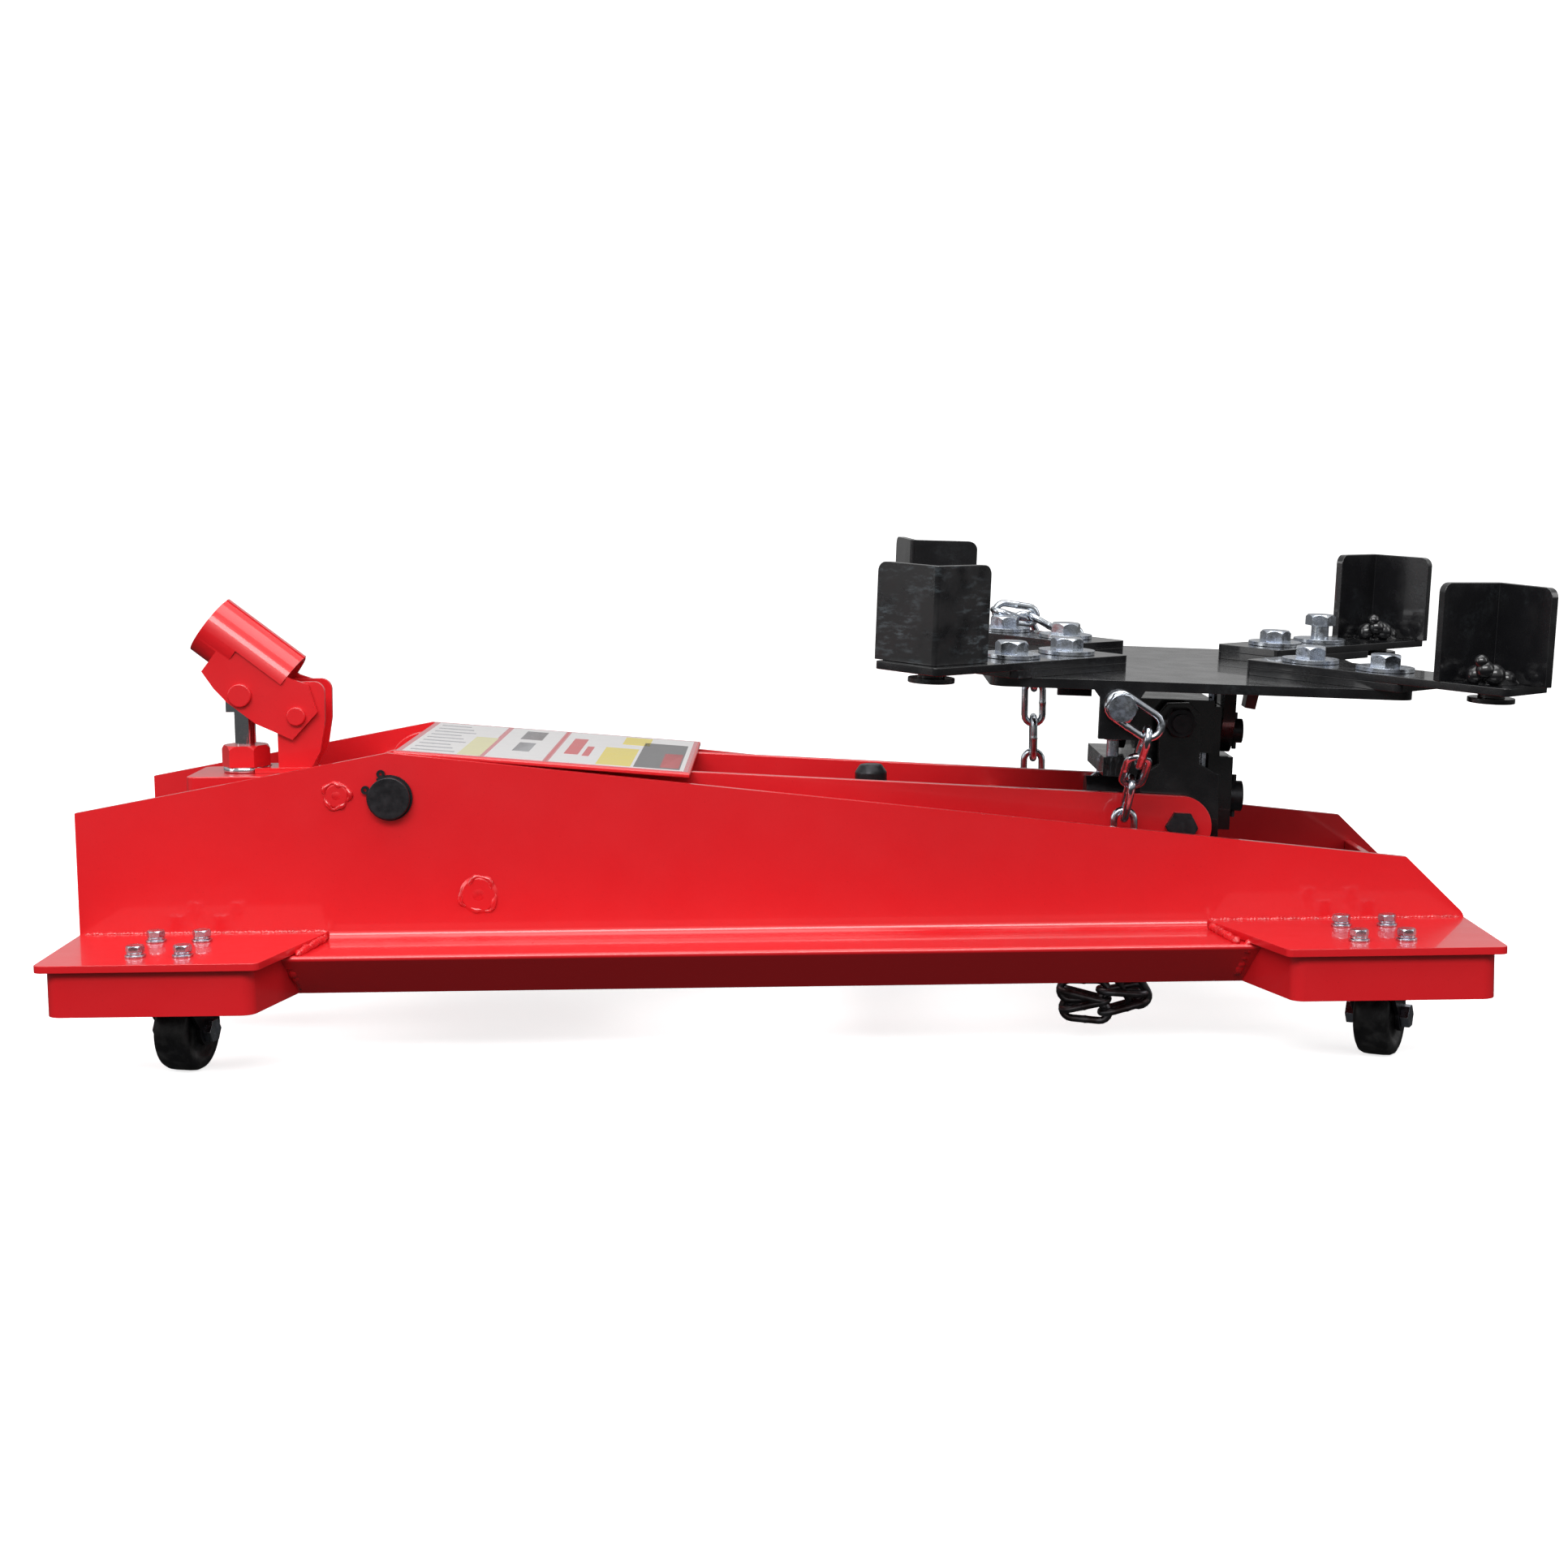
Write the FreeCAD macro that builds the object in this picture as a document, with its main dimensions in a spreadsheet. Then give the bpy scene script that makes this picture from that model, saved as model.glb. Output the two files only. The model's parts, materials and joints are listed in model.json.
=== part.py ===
import FreeCAD, Part
import math
import os
import re
import Sketcher
from FreeCAD import Placement, Rotation, Vector

# Low-profile hydraulic transmission jack. X runs along the chassis (+X is the saddle end),
# -Y is the near side, Z is up and the floor is Z = 0. Lengths in mm, angles in degrees.

SIZES = {
    # chassis rails, flanges and caster decks
    "half_len": 430, "rail_y": 98, "rail_t": 4.5, "rear_z": 154, "peak_x": -236, "peak_z": 189,
    "break_x": 394, "break_z": 116, "flange_z": 73, "flange_t": 4, "flange_y": 155,
    "lip_y": 130, "lip_z": 46, "deck_z": 78, "deck_t": 4.5, "deck_y": 197, "skirt_in": 5,
    "skirt_t": 4, "skirt_z": 46, "rear_in_x": -276, "rear_out_x": -299, "front_in_x": 271,
    "front_out_x": 301, "plug_upper_x": -268, "plug_upper_z": 163, "plug_lower_x": -182,
    "plug_lower_z": 100, "tie_rod": 5.5, "tie_low_rod": 9,
    # casters
    "caster_x": 362, "caster_y": 148, "bolt_dx": 14, "bolt_dy": 24, "wheel_rad": 25,
    "wheel_w": 22, "trail": 18, "axle_rad": 4, "m_six": 3,
    # lift arm, its shaft and its front pivots
    "pivot_x": -235, "pivot_z": 161.5, "shaft_rad": 13, "run_gap": 0.05, "arm_len": 496,
    "arm_plate_y": 58, "arm_plate_t": 6, "arm_half": 19.5, "arm_hub_rad": 25, "hub_tube": 19,
    "cover_len": 184, "cover_t": 3, "cover_y": 92, "lug_drop": 58, "lug_in": 30, "lug_t": 5.5,
    "head_pin": 8, "link_drop": 38, "link_in": 36.5, "link_t": 6, "link_pin": 6,
    # hydraulic unit
    "unit_z": 105, "tube_rad": 24, "block_x": -298, "block_len": 80, "tube_len": 180, "ram_rad": 13,
    "plunger_x": -344.5, "plunger_rad": 6.75, "block_top": 167.5, "pull_in": 25.5,
    "pull_t": 4, "cross_pin": 6.5, "lug_pin": 6,
    # handle socket
    "hinge_x": -307, "hinge_z": 205, "pump_x": -343, "pump_z": 219, "socket_in": 15.5,
    "socket_t": 3, "tube_out": 20, "tube_in": 16.5, "pump_pin": 5, "hinge_pin": 4.5,
    "sleeve_from": 56, "sleeve_end": 82,
    # saddle head
    "head_x": 260, "pitch_z": 197, "roll_z": 188, "cheek_in": 43.5, "cheek_t": 6.5,
    "saddle_x": 262, "plate_dx": 129, "plate_dy": 120, "plate_top": 230.5, "plate_t": 6,
    "bar_w": 50, "bar_t": 4.8, "bar_from": 19, "bar_in": 50, "inner_bolt": 82, "outer_bolt": 136,
    "swivel_at": 209, "arm_out": 233, "guide_out": 162, "slot_run": 12.5, "bracket_leg": 48,
    "bracket_t": 5, "bracket_h": 58.5, "m_twelve": 6, "roll_pin": 8, "stub_pin": 6,
    # chains: wire, plain links and the wider link that hooks on the bolt
    "wire": 4.8, "link_len": 35, "link_w": 17.5, "hook_len": 41, "hook_w": 20.5,
}
ARM_TILT = 3.53          # the arm points this far below level when lowered
SADDLE_PITCH = 2.8       # stored nose-down tilt of the saddle
SADDLE_ROLL = 1.4        # stored tilt of the saddle towards the near side
NEAR, FAR = -1, 1
SIDES = {"near": NEAR, "far": FAR}
ENDS = {"rear": -1, "front": 1}

# sizes are counted from the chassis middle; the row's origin is under its overall middle
TO_CENTRE = Placement(Vector(-18.66, 0, 0), Rotation())

doc = FreeCAD.newDocument("transmission_jack")
dims = doc.addObject("Spreadsheet::Sheet", "Dims")
for row, (alias, value) in enumerate(SIZES.items(), start=1):
    dims.set(f"A{row}", alias)
    dims.set(f"B{row}", str(value))
    dims.setAlias(f"B{row}", alias)
doc.recompute()
subparts = []


def size(alias):
    """A driving dimension, read from the sheet."""
    return float(dims.get(alias))


def formula(text):
    """Point each alias in a formula at the sheet."""
    return re.sub(r"[a-z]\w+", lambda word: "Dims." + word.group(), str(text))


def bind(obj, **sizes):
    for prop, text in sizes.items():
        obj.setExpression(prop, formula(text))
    return obj


def place(obj, at, turn=None):
    """Put an object at three formulas, turned by a Rotation."""
    obj.Placement = Placement(Vector(0, 0, 0), turn or Rotation())
    for axis, text in zip("xyz", at):
        obj.setExpression("Placement.Base." + axis, formula(text))
    return obj


AXES = {"z": Rotation(), "y": Rotation(Vector(1, 0, 0), -90), "x": Rotation(Vector(0, 1, 0), 90)}


def box(dx, dy, dz, at, turn=None):
    solid = bind(doc.addObject("Part::Box", "Box"), Length=dx, Width=dy, Height=dz)
    return place(solid, at, turn)


def rod(radius, length, at, axis="z"):
    solid = bind(doc.addObject("Part::Cylinder", "Rod"), Radius=radius, Height=length)
    return place(solid, at, AXES[axis])


def cone(low, high, length, at, axis="z"):
    solid = bind(doc.addObject("Part::Cone", "Cone"), Radius1=low, Radius2=high, Height=length)
    return place(solid, at, AXES[axis])


def ball(radius, at):
    return place(bind(doc.addObject("Part::Sphere", "Ball"), Radius=radius), at)


def hexagon(corner_radius, length, at, axis="z"):
    solid = doc.addObject("Part::Prism", "Hexagon")
    solid.Polygon = 6
    bind(solid, Circumradius=corner_radius, Height=length)
    return place(solid, at, AXES[axis])


def cut(base, *tools):
    for tool in tools:
        result = doc.addObject("Part::Cut", "Cut")
        result.Base = base
        result.Tool = tool
        base = result
    return base


def fuse(*parts):
    if len(parts) == 1:
        return parts[0]
    result = doc.addObject("Part::MultiFuse", "Fuse")
    result.Shapes = list(parts)
    return result


def group(*parts):
    """Several loose solids that share one node."""
    result = doc.addObject("Part::Compound", "Group")
    result.Links = list(parts)
    return result


def common(one, other):
    result = doc.addObject("Part::Common", "Common")
    result.Base = one
    result.Tool = other
    return result


def mirrored(obj):
    """A copy on the other side of the lengthways middle plane."""
    result = doc.addObject("Part::Mirroring", "Mirror")
    result.Source = obj
    result.Normal = Vector(0, 1, 0)
    return result


def bevel(obj, radius, picks):
    """Round the edges whose middle point a test picks out."""
    doc.recompute()
    edges = []
    for index, edge in enumerate(obj.Shape.Edges, start=1):
        middle = edge.valueAt((edge.FirstParameter + edge.LastParameter) / 2)
        if picks(middle, edge):
            edges.append((index, radius, radius))
    result = doc.addObject("Part::Fillet", "Rounded")
    result.Base = obj
    result.Edges = edges
    return result


def upright(edge):
    along = edge.tangentAt(edge.FirstParameter)
    return abs(along.z) > 0.99


def profile(plane, outline, length, offset=0.0):
    """A PartDesign body: a straight-sided outline, bound to the sheet and padded."""
    body = doc.addObject("PartDesign::Body", "Body")
    sketch = body.newObject("Sketcher::SketchObject", "Outline")
    datum = [f for f in body.Origin.OriginFeatures if f.Role == plane][0]
    sketch.AttachmentSupport = [(datum, "")]
    sketch.MapMode = "FlatFace"
    sketch.setExpression("AttachmentOffset.Base.z", formula(offset))
    count = len(outline)
    for index in range(count):
        angle = 2 * math.pi * index / count
        after = 2 * math.pi * (index + 1) / count
        start = Vector(500 * math.cos(angle), 500 * math.sin(angle), 0)
        finish = Vector(500 * math.cos(after), 500 * math.sin(after), 0)
        sketch.addGeometry(Part.LineSegment(start, finish), False)
    for index in range(count):
        sketch.addConstraint(Sketcher.Constraint("Coincident", index, 2, (index + 1) % count, 1))
    for index, point in enumerate(outline):
        for kind, text in zip(("DistanceX", "DistanceY"), point):
            number = sketch.addConstraint(Sketcher.Constraint(kind, -1, 1, index, 1, 1.0))
            sketch.setExpression(f"Constraints[{number}]", formula(text))
    pad = body.newObject("PartDesign::Pad", "Pad")
    pad.Profile = sketch
    pad.setExpression("Length", formula(length))
    body.Tip = pad
    return body


def node(label, obj, placement=None):
    """Name a finished sub-part and set it where it is stored, tilted or swivelled."""
    whole = group(obj)
    whole.Label = label
    whole.Placement = TO_CENTRE.multiply(placement or Placement())
    subparts.append(whole)


def turned(axis, angle, centre):
    return Placement(Vector(0, 0, 0), Rotation(axis, angle), centre)


# --- stored tilts ------------------------------------------------------------------------
ARM_AT = turned(Vector(0, 1, 0), ARM_TILT, Vector(size("pivot_x"), 0, size("pivot_z")))
PITCH_AT = turned(Vector(0, 1, 0), SADDLE_PITCH, Vector(size("head_x"), 0, size("pitch_z")))
ROLL_AT = turned(Vector(1, 0, 0), SADDLE_ROLL, Vector(size("head_x"), 0, size("roll_z")))
SADDLE_AT = PITCH_AT.multiply(ROLL_AT)


# --- chassis -----------------------------------------------------------------------------
def deck_outline(end, inset):
    """The plan of one caster deck on the near side, pulled in on its three free sides."""
    if end < 0:
        return [(f"-half_len + {inset}", "-rail_y"), (f"-half_len + {inset}", f"-deck_y + {inset}"),
                (f"rear_out_x - {inset}", f"-deck_y + {inset}"), (f"rear_in_x - {inset}", "-rail_y")]
    return [(f"half_len - {inset}", "-rail_y"), (f"front_in_x + {inset}", "-rail_y"),
            (f"front_out_x + {inset}", f"-deck_y + {inset}"),
            (f"half_len - {inset}", f"-deck_y + {inset}")]


def caster_holes(end, low, height):
    """The four bolt holes that the caster plate and the deck share."""
    return [rod("m_six + 0.4", height, (f"{end}*caster_x + {i}*bolt_dx", f"-caster_y + {j}*bolt_dy", low))
            for i in (-1, 1) for j in (-1, 1)]


def deck(end):
    top = profile("XY_Plane", deck_outline(end, 0), "deck_t", "deck_z - deck_t")
    top = bevel(top, 5, lambda p, e: upright(e) and p.y < -size("deck_y") + 1)
    skirt = profile("XY_Plane", deck_outline(end, "skirt_in"), "deck_z - deck_t - skirt_z", "skirt_z")
    skirt = bevel(skirt, 9, lambda p, e: upright(e) and p.y < -size("deck_y") + 8)
    inner = deck_outline(end, "(skirt_in + skirt_t)")
    inner = [(x, f"{y} + 2" if y == "-rail_y" else y) for x, y in inner]
    hollow = profile("XY_Plane", inner, "deck_z", "skirt_z - 1")
    hollow = bevel(hollow, 5, lambda p, e: upright(e) and p.y < -size("deck_y") + 12)
    walls = cut(skirt, hollow)
    return cut(fuse(top, walls), *caster_holes(end, "deck_z - deck_t - 1", "deck_t + 2"))


def weld_plug(x, z, radius):
    """The flat bead where a tie bar is welded through the web."""
    bead = doc.addObject("Part::Cone", "Plug")
    bind(bead, Radius1=radius, Radius2=radius - 2, Height=1.5)
    return place(bead, (x, "-rail_y", z), Rotation(Vector(1, 0, 0), 90))


def rail():
    """One pressed side rail: upright web, outward flange and a lip that slants back in."""
    web = profile("XZ_Plane", [
        ("-half_len", "flange_z - flange_t"), ("half_len", "flange_z - flange_t"),
        ("half_len", "deck_z + 2"), ("break_x", "break_z"), ("peak_x", "peak_z"),
        ("-half_len", "rear_z")], "rail_t", "rail_y - rail_t")
    web = bevel(web, 8, lambda p, e: p.x > size("half_len") - 0.1 and abs(p.z - 80) < 0.5)
    edge = profile("YZ_Plane", [
        ("-rail_y + 0.1", "flange_z"), ("-flange_y", "flange_z"), ("-lip_y", "lip_z"),
        ("-lip_y + 5", "lip_z"), ("-flange_y + 8", "flange_z - flange_t"),
        ("-rail_y + 0.1", "flange_z - flange_t")], "700", "-350")
    edge = bevel(edge, 2, lambda p, e: p.y < -size("flange_y") + 0.1)
    bend = cut(box("front_in_x - rear_in_x - 2", "6", "6",
                   ("rear_in_x + 1", "-rail_y - 5.9", "flange_z - 0.1")),
               rod("6", "700", ("-350", "-rail_y - 6", "flange_z + 6"), "x"))
    rear = profile("XY_Plane", deck_outline(-1, "skirt_in"), "60", "lip_z - 4")
    front = profile("XY_Plane", deck_outline(1, "skirt_in"), "60", "lip_z - 4")
    edge = cut(edge, rear, front)
    upper = weld_plug("plug_upper_x", "plug_upper_z", 8.5)
    lower = weld_plug("plug_lower_x", "plug_lower_z", 12)
    stub = rod("link_pin - run_gap", "rail_y - rail_t - link_in + 0.1",
               ("pivot_x", "-rail_y + rail_t - 0.1", "pivot_z - link_drop"), "y")
    body = fuse(web, edge, bend, upper, lower, stub)
    return cut(body, rod("shaft_rad + run_gap", "20", ("pivot_x", "-rail_y - 10", "pivot_z"), "y"))


near_rail = rail()
node("rail_near", near_rail)
node("rail_far", mirrored(near_rail))
for name, end in ENDS.items():
    near_deck = deck(end)
    node(f"deck_{name}_near", near_deck)
    node(f"deck_{name}_far", mirrored(near_deck))
node("front_cross_plate", box("5", "2*(rail_y - rail_t)", "44",
                              ("break_x + 4", "-rail_y + rail_t", "54")))
node("tie_bars", group(
    rod("tie_rod", "2*(rail_y - rail_t)", ("plug_upper_x", "-rail_y + rail_t", "plug_upper_z"), "y"),
    rod("tie_low_rod", "16", ("plug_lower_x", "-rail_y + rail_t", "plug_lower_z"), "y"),
    rod("tie_low_rod", "16", ("plug_lower_x", "rail_y - rail_t - 16", "plug_lower_z"), "y")))
rest = cut(box("40", "2*(rail_y - rail_t)", "14", ("45", "-rail_y + rail_t", "76")),
           box("32", "2*rail_y", "11", ("49", "-rail_y", "75")))
node("rest_channel", fuse(rest, rod("10.5", "72", ("65", "0", "89.9")),
                          cone("10.5", "7", "5", ("65", "0", "161.9"))))

# --- shaft and casters -------------------------------------------------------------------
shaft = rod("shaft_rad", "2*(rail_y + 7)", ("pivot_x", "-rail_y - 7", "pivot_z"), "y")
grooves = [cut(rod("shaft_rad + 1", "1.8", ("pivot_x", y, "pivot_z"), "y"),
               rod("shaft_rad - 1.2", "4", ("pivot_x", f"{y} - 1", "pivot_z"), "y"))
           for y in ("-rail_y - 2.7", "rail_y + 0.9")]
node("pivot_shaft", cut(shaft, *grooves))


def snap_ring(y):
    """An open retaining ring with its two eyes up and to the left."""
    ring = cut(rod("shaft_rad + 1.2", "1.4", ("pivot_x", y, "pivot_z"), "y"),
               rod("shaft_rad - 1.1", "4", ("pivot_x", f"{y} - 1", "pivot_z"), "y"))
    gap = place(bind(doc.addObject("Part::Box", "Gap"), Length="9", Width="5", Height="30"),
                ("pivot_x - 11", f"{y} - 2", "pivot_z + 2"), Rotation(Vector(0, 1, 0), -45))
    eyes = [cut(rod("2.6", "1.4", (f"pivot_x + {dx}", y, f"pivot_z + {dz}"), "y"),
                rod("1", "4", (f"pivot_x + {dx}", f"{y} - 1", f"pivot_z + {dz}"), "y"))
            for dx, dz in ((-14.8, 5.0), (-5.0, 14.8))]
    return fuse(cut(ring, gap), *eyes)


node("shaft_snap_rings", group(snap_ring("-rail_y - 2.5"), snap_ring("rail_y + 1.1")))
CASTERS = {f"{e}_{s}": (f"{ENDS[e]}*caster_x", f"{SIDES[s]}*caster_y") for e in ENDS for s in SIDES}
bolts = []
washers = []
plates = []
for cx, cy in CASTERS.values():
    holes = []
    for i in (-1, 1):
        for j in (-1, 1):
            x, y = f"{cx} + {i}*bolt_dx", f"{cy} + {j}*bolt_dy"
            crown = common(hexagon("5.77", "4", (x, y, "deck_z + 3.2")),
                           cone("8.6", "4.8", "4", (x, y, "deck_z + 3.2")))
            bolts.append(fuse(crown, rod("m_six", "14.8", (x, y, "deck_z - 11.5")),
                              hexagon("5.77", "4.5", (x, y, "deck_z - 12"))))
            for radius, low, high in ((6.2, 0.05, 1.5), (5.1, 1.6, 3.1)):
                washers.append(cut(rod(radius, high - low, (x, y, f"deck_z + {low}")),
                                   rod("m_six + 0.1", "6", (x, y, "deck_z - 1"))))
            holes.append(rod("m_six + 0.4", "6", (x, y, "deck_z - 9")))
    plate = bevel(box("44", "66", "2.4", (f"{cx} - 22", f"{cy} - 33", "deck_z - deck_t - 2.4")),
                  5, lambda p, e: upright(e))
    race = fuse(rod("18", "3.2", (cx, cy, "deck_z - deck_t - 5.5")),
                cone("14", "18", "4", (cx, cy, "deck_z - deck_t - 9.5")))
    plates.append(cut(fuse(plate, race), *holes))
node("caster_fasteners", group(*bolts, *washers))
node("caster_plates", group(*plates))

# each caster is stored swivelled: its wheel trails along this heading
HEADINGS = {"rear_near": 76.0, "front_near": 62.6, "rear_far": 80.0, "front_far": 70.0}
for name, heading in HEADINGS.items():
    end, side = name.split("_")
    at = Placement(Vector(ENDS[end] * size("caster_x"), SIDES[side] * size("caster_y"), 0),
                   Rotation(Vector(0, 0, 1), heading))
    legs = []
    for face in (-14, 11.6):
        leg = fuse(rod("9.5", "2.4", ("trail", f"{face}", "wheel_rad"), "y"),
                   box("26", "2.4", "20", ("-4", f"{face}", "39.9")),
                   profile("XZ_Plane", [("-4", "41"), ("trail - 9.2", "wheel_rad + 2"),
                                        ("trail + 9.2", "wheel_rad + 2"), ("22", "41")],
                           "2.4", f"{-face - 2.4}"))
        legs.append(leg)
    crown = fuse(box("trail + 8", "28", "2.6", ("-4", "-14", "57.4")),
                 rod("17", "2.8", ("0", "0", "57.4")), rod("9", "6", ("0", "0", "57.6")))
    fork = cut(fuse(crown, *legs),
               rod("axle_rad + 0.1", "40", ("trail", "-20", "wheel_rad"), "y"))
    axle = fuse(rod("axle_rad", "32", ("trail", "-16", "wheel_rad"), "y"),
                hexagon("7.4", "5", ("trail", "-19.1", "wheel_rad"), "y"),
                hexagon("7.4", "5.5", ("trail", "14.1", "wheel_rad"), "y"))
    wheel = cut(rod("wheel_rad", "wheel_w", ("trail", "-wheel_w/2", "wheel_rad"), "y"),
                rod("axle_rad + run_gap", "40", ("trail", "-20", "wheel_rad"), "y"))
    wheel = bevel(wheel, 3, lambda p, e: hasattr(e.Curve, "Radius") and e.Curve.Radius > 20)
    node(f"caster_fork_{name}", group(fork, axle), at)
    node(f"caster_wheel_{name}", wheel, at)

# --- hydraulic unit ----------------------------------------------------------------------
block = box("block_len", "60", "block_top - 62", ("block_x - block_len", "-30", "62"))
block = bevel(block, 6, lambda p, e: upright(e))
node("pump_block", cut(block,
                       rod("plunger_rad + run_gap", "80", ("plunger_x", "0", "block_top - 60")),
                       rod("14", "5", ("plunger_x", "0", "block_top - 2")),
                       rod("6.05", "30", ("block_x - block_len - 1", "16", "92"), "x")))
flats = common(hexagon("15.9", "14", ("plunger_x", "0", "block_top + 3.8")),
               cone("23", "14.2", "14", ("plunger_x", "0", "block_top + 3.8")))
gland = fuse(rod("13.9", "5.9", ("plunger_x", "0", "block_top - 2")), flats)
node("gland_nut", cut(gland, rod("plunger_rad + run_gap", "40", ("plunger_x", "0", "block_top - 8"))))
barrel = fuse(rod("tube_rad", "tube_len", ("block_x", "0", "unit_z"), "x"),
              rod("tube_rad - 1", "6", ("block_x + tube_len - 0.1", "0", "unit_z"), "x"))
node("cylinder_tube", cut(barrel, rod("ram_rad + run_gap", "tube_len + 20",
                                      ("block_x + 8", "0", "unit_z"), "x")))
crosshead = fuse(box("30", "48", "30", ("block_x + tube_len + 18", "-24", "unit_z - 15")),
                 rod("cross_pin", "60", ("block_x + tube_len + 32", "-30", "unit_z"), "y"))
node("ram", fuse(rod("ram_rad", "150", ("block_x + tube_len - 131", "0", "unit_z"), "x"), crosshead))
node("release_valve", fuse(rod("6", "24", ("block_x - block_len - 6", "16", "92"), "x"),
                           box("5", "26", "8", ("block_x - block_len - 10.9", "3", "88"))))

# --- pump linkage ------------------------------------------------------------------------
ear = profile("XZ_Plane", [
    ("-320.5", "block_top + 0.1"), ("-301", "block_top + 0.1"), ("-293", "block_top + 14"),
    ("-289.5", "block_top + 34"), ("-289", "block_top + 59.5"), ("-320.5", "block_top + 59.5")],
    "3.5", "11")
ear = bevel(ear, 7, lambda p, e: abs(p.z - size("block_top") - 59.5) < 0.2 and abs(p.y + 12.75) < 1)
foot = cut(box("36", "30", "3.4", ("-336", "-15", "block_top + 0.1")),
           rod("16.5", "10", ("plunger_x", "0", "block_top - 1")))
back = box("3", "23", "30", ("-303", "-11.5", "block_top + 3"))
node("socket_bracket", cut(fuse(ear, mirrored(ear), foot, back),
                           rod("hinge_pin + run_gap", "60", ("hinge_x", "-30", "hinge_z"), "y")))
tongue = box("29.5", "12", "24", ("pump_x - 12.5", "-6", "pump_z - 12"))
slot = [box("9.6", "20", "2*pump_pin + 2.2", ("pump_x - 2.6", "-10", "pump_z - pump_pin - 1.1")),
        rod("pump_pin + 1.1", "20", ("pump_x - 2.6", "-10", "pump_z"), "y"),
        rod("pump_pin + 1.1", "20", ("pump_x + 7", "-10", "pump_z"), "y")]
node("pump_plunger", cut(fuse(tongue, rod("plunger_rad", "85", ("plunger_x", "0", "pump_z - 94"))),
                         *slot))

# the handle socket is drawn along +X from its hinge, then raised to the handle's angle
SOCKET_AT = Placement(Vector(size("hinge_x"), 0, size("hinge_z")), Rotation(Vector(0, 1, 0), -142))
cheek = profile("XZ_Plane", [
    ("-7", "14"), ("18", "20"), ("41", "20"), ("53", "18"), ("66", "13.7"), ("66", "-16.5"),
    ("18", "-17"), ("6.4", "-21"), ("-9.2", "-10")], "socket_t", "socket_in")
sleeve = rod("tube_out", "sleeve_end - sleeve_from", ("sleeve_from", "0", "-10.6"), "x")
# below the sleeve only the sheet's rounded back goes on towards the hinge
roof = cut(rod("tube_out", "sleeve_from - 19.9", ("20", "0", "-10.6"), "x"),
           rod("tube_in + 1", "sleeve_from - 19", ("19", "0", "-10.6"), "x"),
           box("sleeve_from", "50", "25", ("19", "-25", "-10.6")))
seam = box("62", "6", "4", ("20", "-3", "-31.5"))
tongue_room = rod("23", "15", ("37", "-7.5", "11.1"), "y")
socket = cut(fuse(sleeve, cheek, mirrored(cheek), roof, seam),
             rod("tube_in", "40", ("sleeve_from - 1", "0", "-10.6"), "x"),
             rod("tube_in + 1", "sleeve_from - 19", ("19", "0", "-10.6"), "x"), tongue_room,
             rod("hinge_pin", "60", ("0", "-30", "0"), "y"),
             rod("pump_pin", "60", ("37", "-30", "11.1"), "y"))
node("handle_socket", socket, SOCKET_AT)
pins = []
for x, z, radius, head_rad in (("0", "0", "hinge_pin", 6), ("37", "11.1", "pump_pin", 7.5)):
    pins.append(fuse(rod(radius, "37.2", (x, "-18.6", z), "y"),
                     rod(head_rad, "3", (x, "-21.6", z), "y"),
                     rod(head_rad, "3", (x, "18.6", z), "y")))
node("socket_pins", group(*pins), SOCKET_AT)

# --- lift arm, drawn level and then lowered by its stored tilt ----------------------------
def arm_plate():
    bar = profile("XZ_Plane", [
        ("pivot_x", "pivot_z + arm_hub_rad"), ("pivot_x", "pivot_z - arm_hub_rad"),
        ("pivot_x + cover_len", "pivot_z - 20"), ("pivot_x + arm_len", "pivot_z - arm_half"),
        ("pivot_x + arm_len", "pivot_z + arm_half"), ("pivot_x + cover_len", "pivot_z + 20")],
        "arm_plate_t", "arm_plate_y - arm_plate_t")
    ends = [rod("arm_hub_rad", "arm_plate_t", ("pivot_x", "-arm_plate_y", "pivot_z"), "y"),
            rod("arm_half", "arm_plate_t", ("pivot_x + arm_len", "-arm_plate_y", "pivot_z"), "y")]
    return cut(fuse(bar, *ends),
               rod("hub_tube", "20", ("pivot_x", "-arm_plate_y - 5", "pivot_z"), "y"),
               rod("head_pin", "20", ("pivot_x + arm_len", "-arm_plate_y - 5", "pivot_z"), "y"))


near_plate = arm_plate()
node("arm_plate_near", near_plate, ARM_AT)
node("arm_plate_far", mirrored(near_plate), ARM_AT)
LUG_ANGLE = math.radians(ARM_TILT - 110)
LUG_X = f"pivot_x + lug_drop*{math.cos(LUG_ANGLE):.5f}"
LUG_Z = f"pivot_z + lug_drop*{math.sin(LUG_ANGLE):.5f}"
lug = fuse(profile("XZ_Plane", [("pivot_x - 18", "pivot_z - 8"), (f"{LUG_X} - 11", f"{LUG_Z} - 2"),
                                (f"{LUG_X} + 11", f"{LUG_Z}"), ("pivot_x + 18", "pivot_z - 8")],
                   "lug_t", "lug_in"),
           rod("11", "lug_t", (LUG_X, "-lug_in - lug_t", LUG_Z), "y"),
           rod("lug_pin", "lug_in + lug_t - 24.8", (LUG_X, "-lug_in - lug_t", LUG_Z), "y"))
tube = rod("hub_tube", "2*(rail_y - rail_t) - 4", ("pivot_x", "-rail_y + rail_t + 2", "pivot_z"), "y")
hub = cut(fuse(tube, lug, mirrored(lug)),
          rod("shaft_rad + run_gap", "240", ("pivot_x", "-120", "pivot_z"), "y"))
node("arm_hub", hub, ARM_AT)
cover = profile("XZ_Plane", [
    ("pivot_x", "pivot_z + arm_hub_rad + 0.1"), ("pivot_x + cover_len", "pivot_z + 20.1"),
    ("pivot_x + cover_len", "pivot_z + 20.1 + cover_t"),
    ("pivot_x", "pivot_z + arm_hub_rad + 0.1 + cover_t")], "2*cover_y", "-cover_y")
node("arm_cover", cover, ARM_AT)
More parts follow.
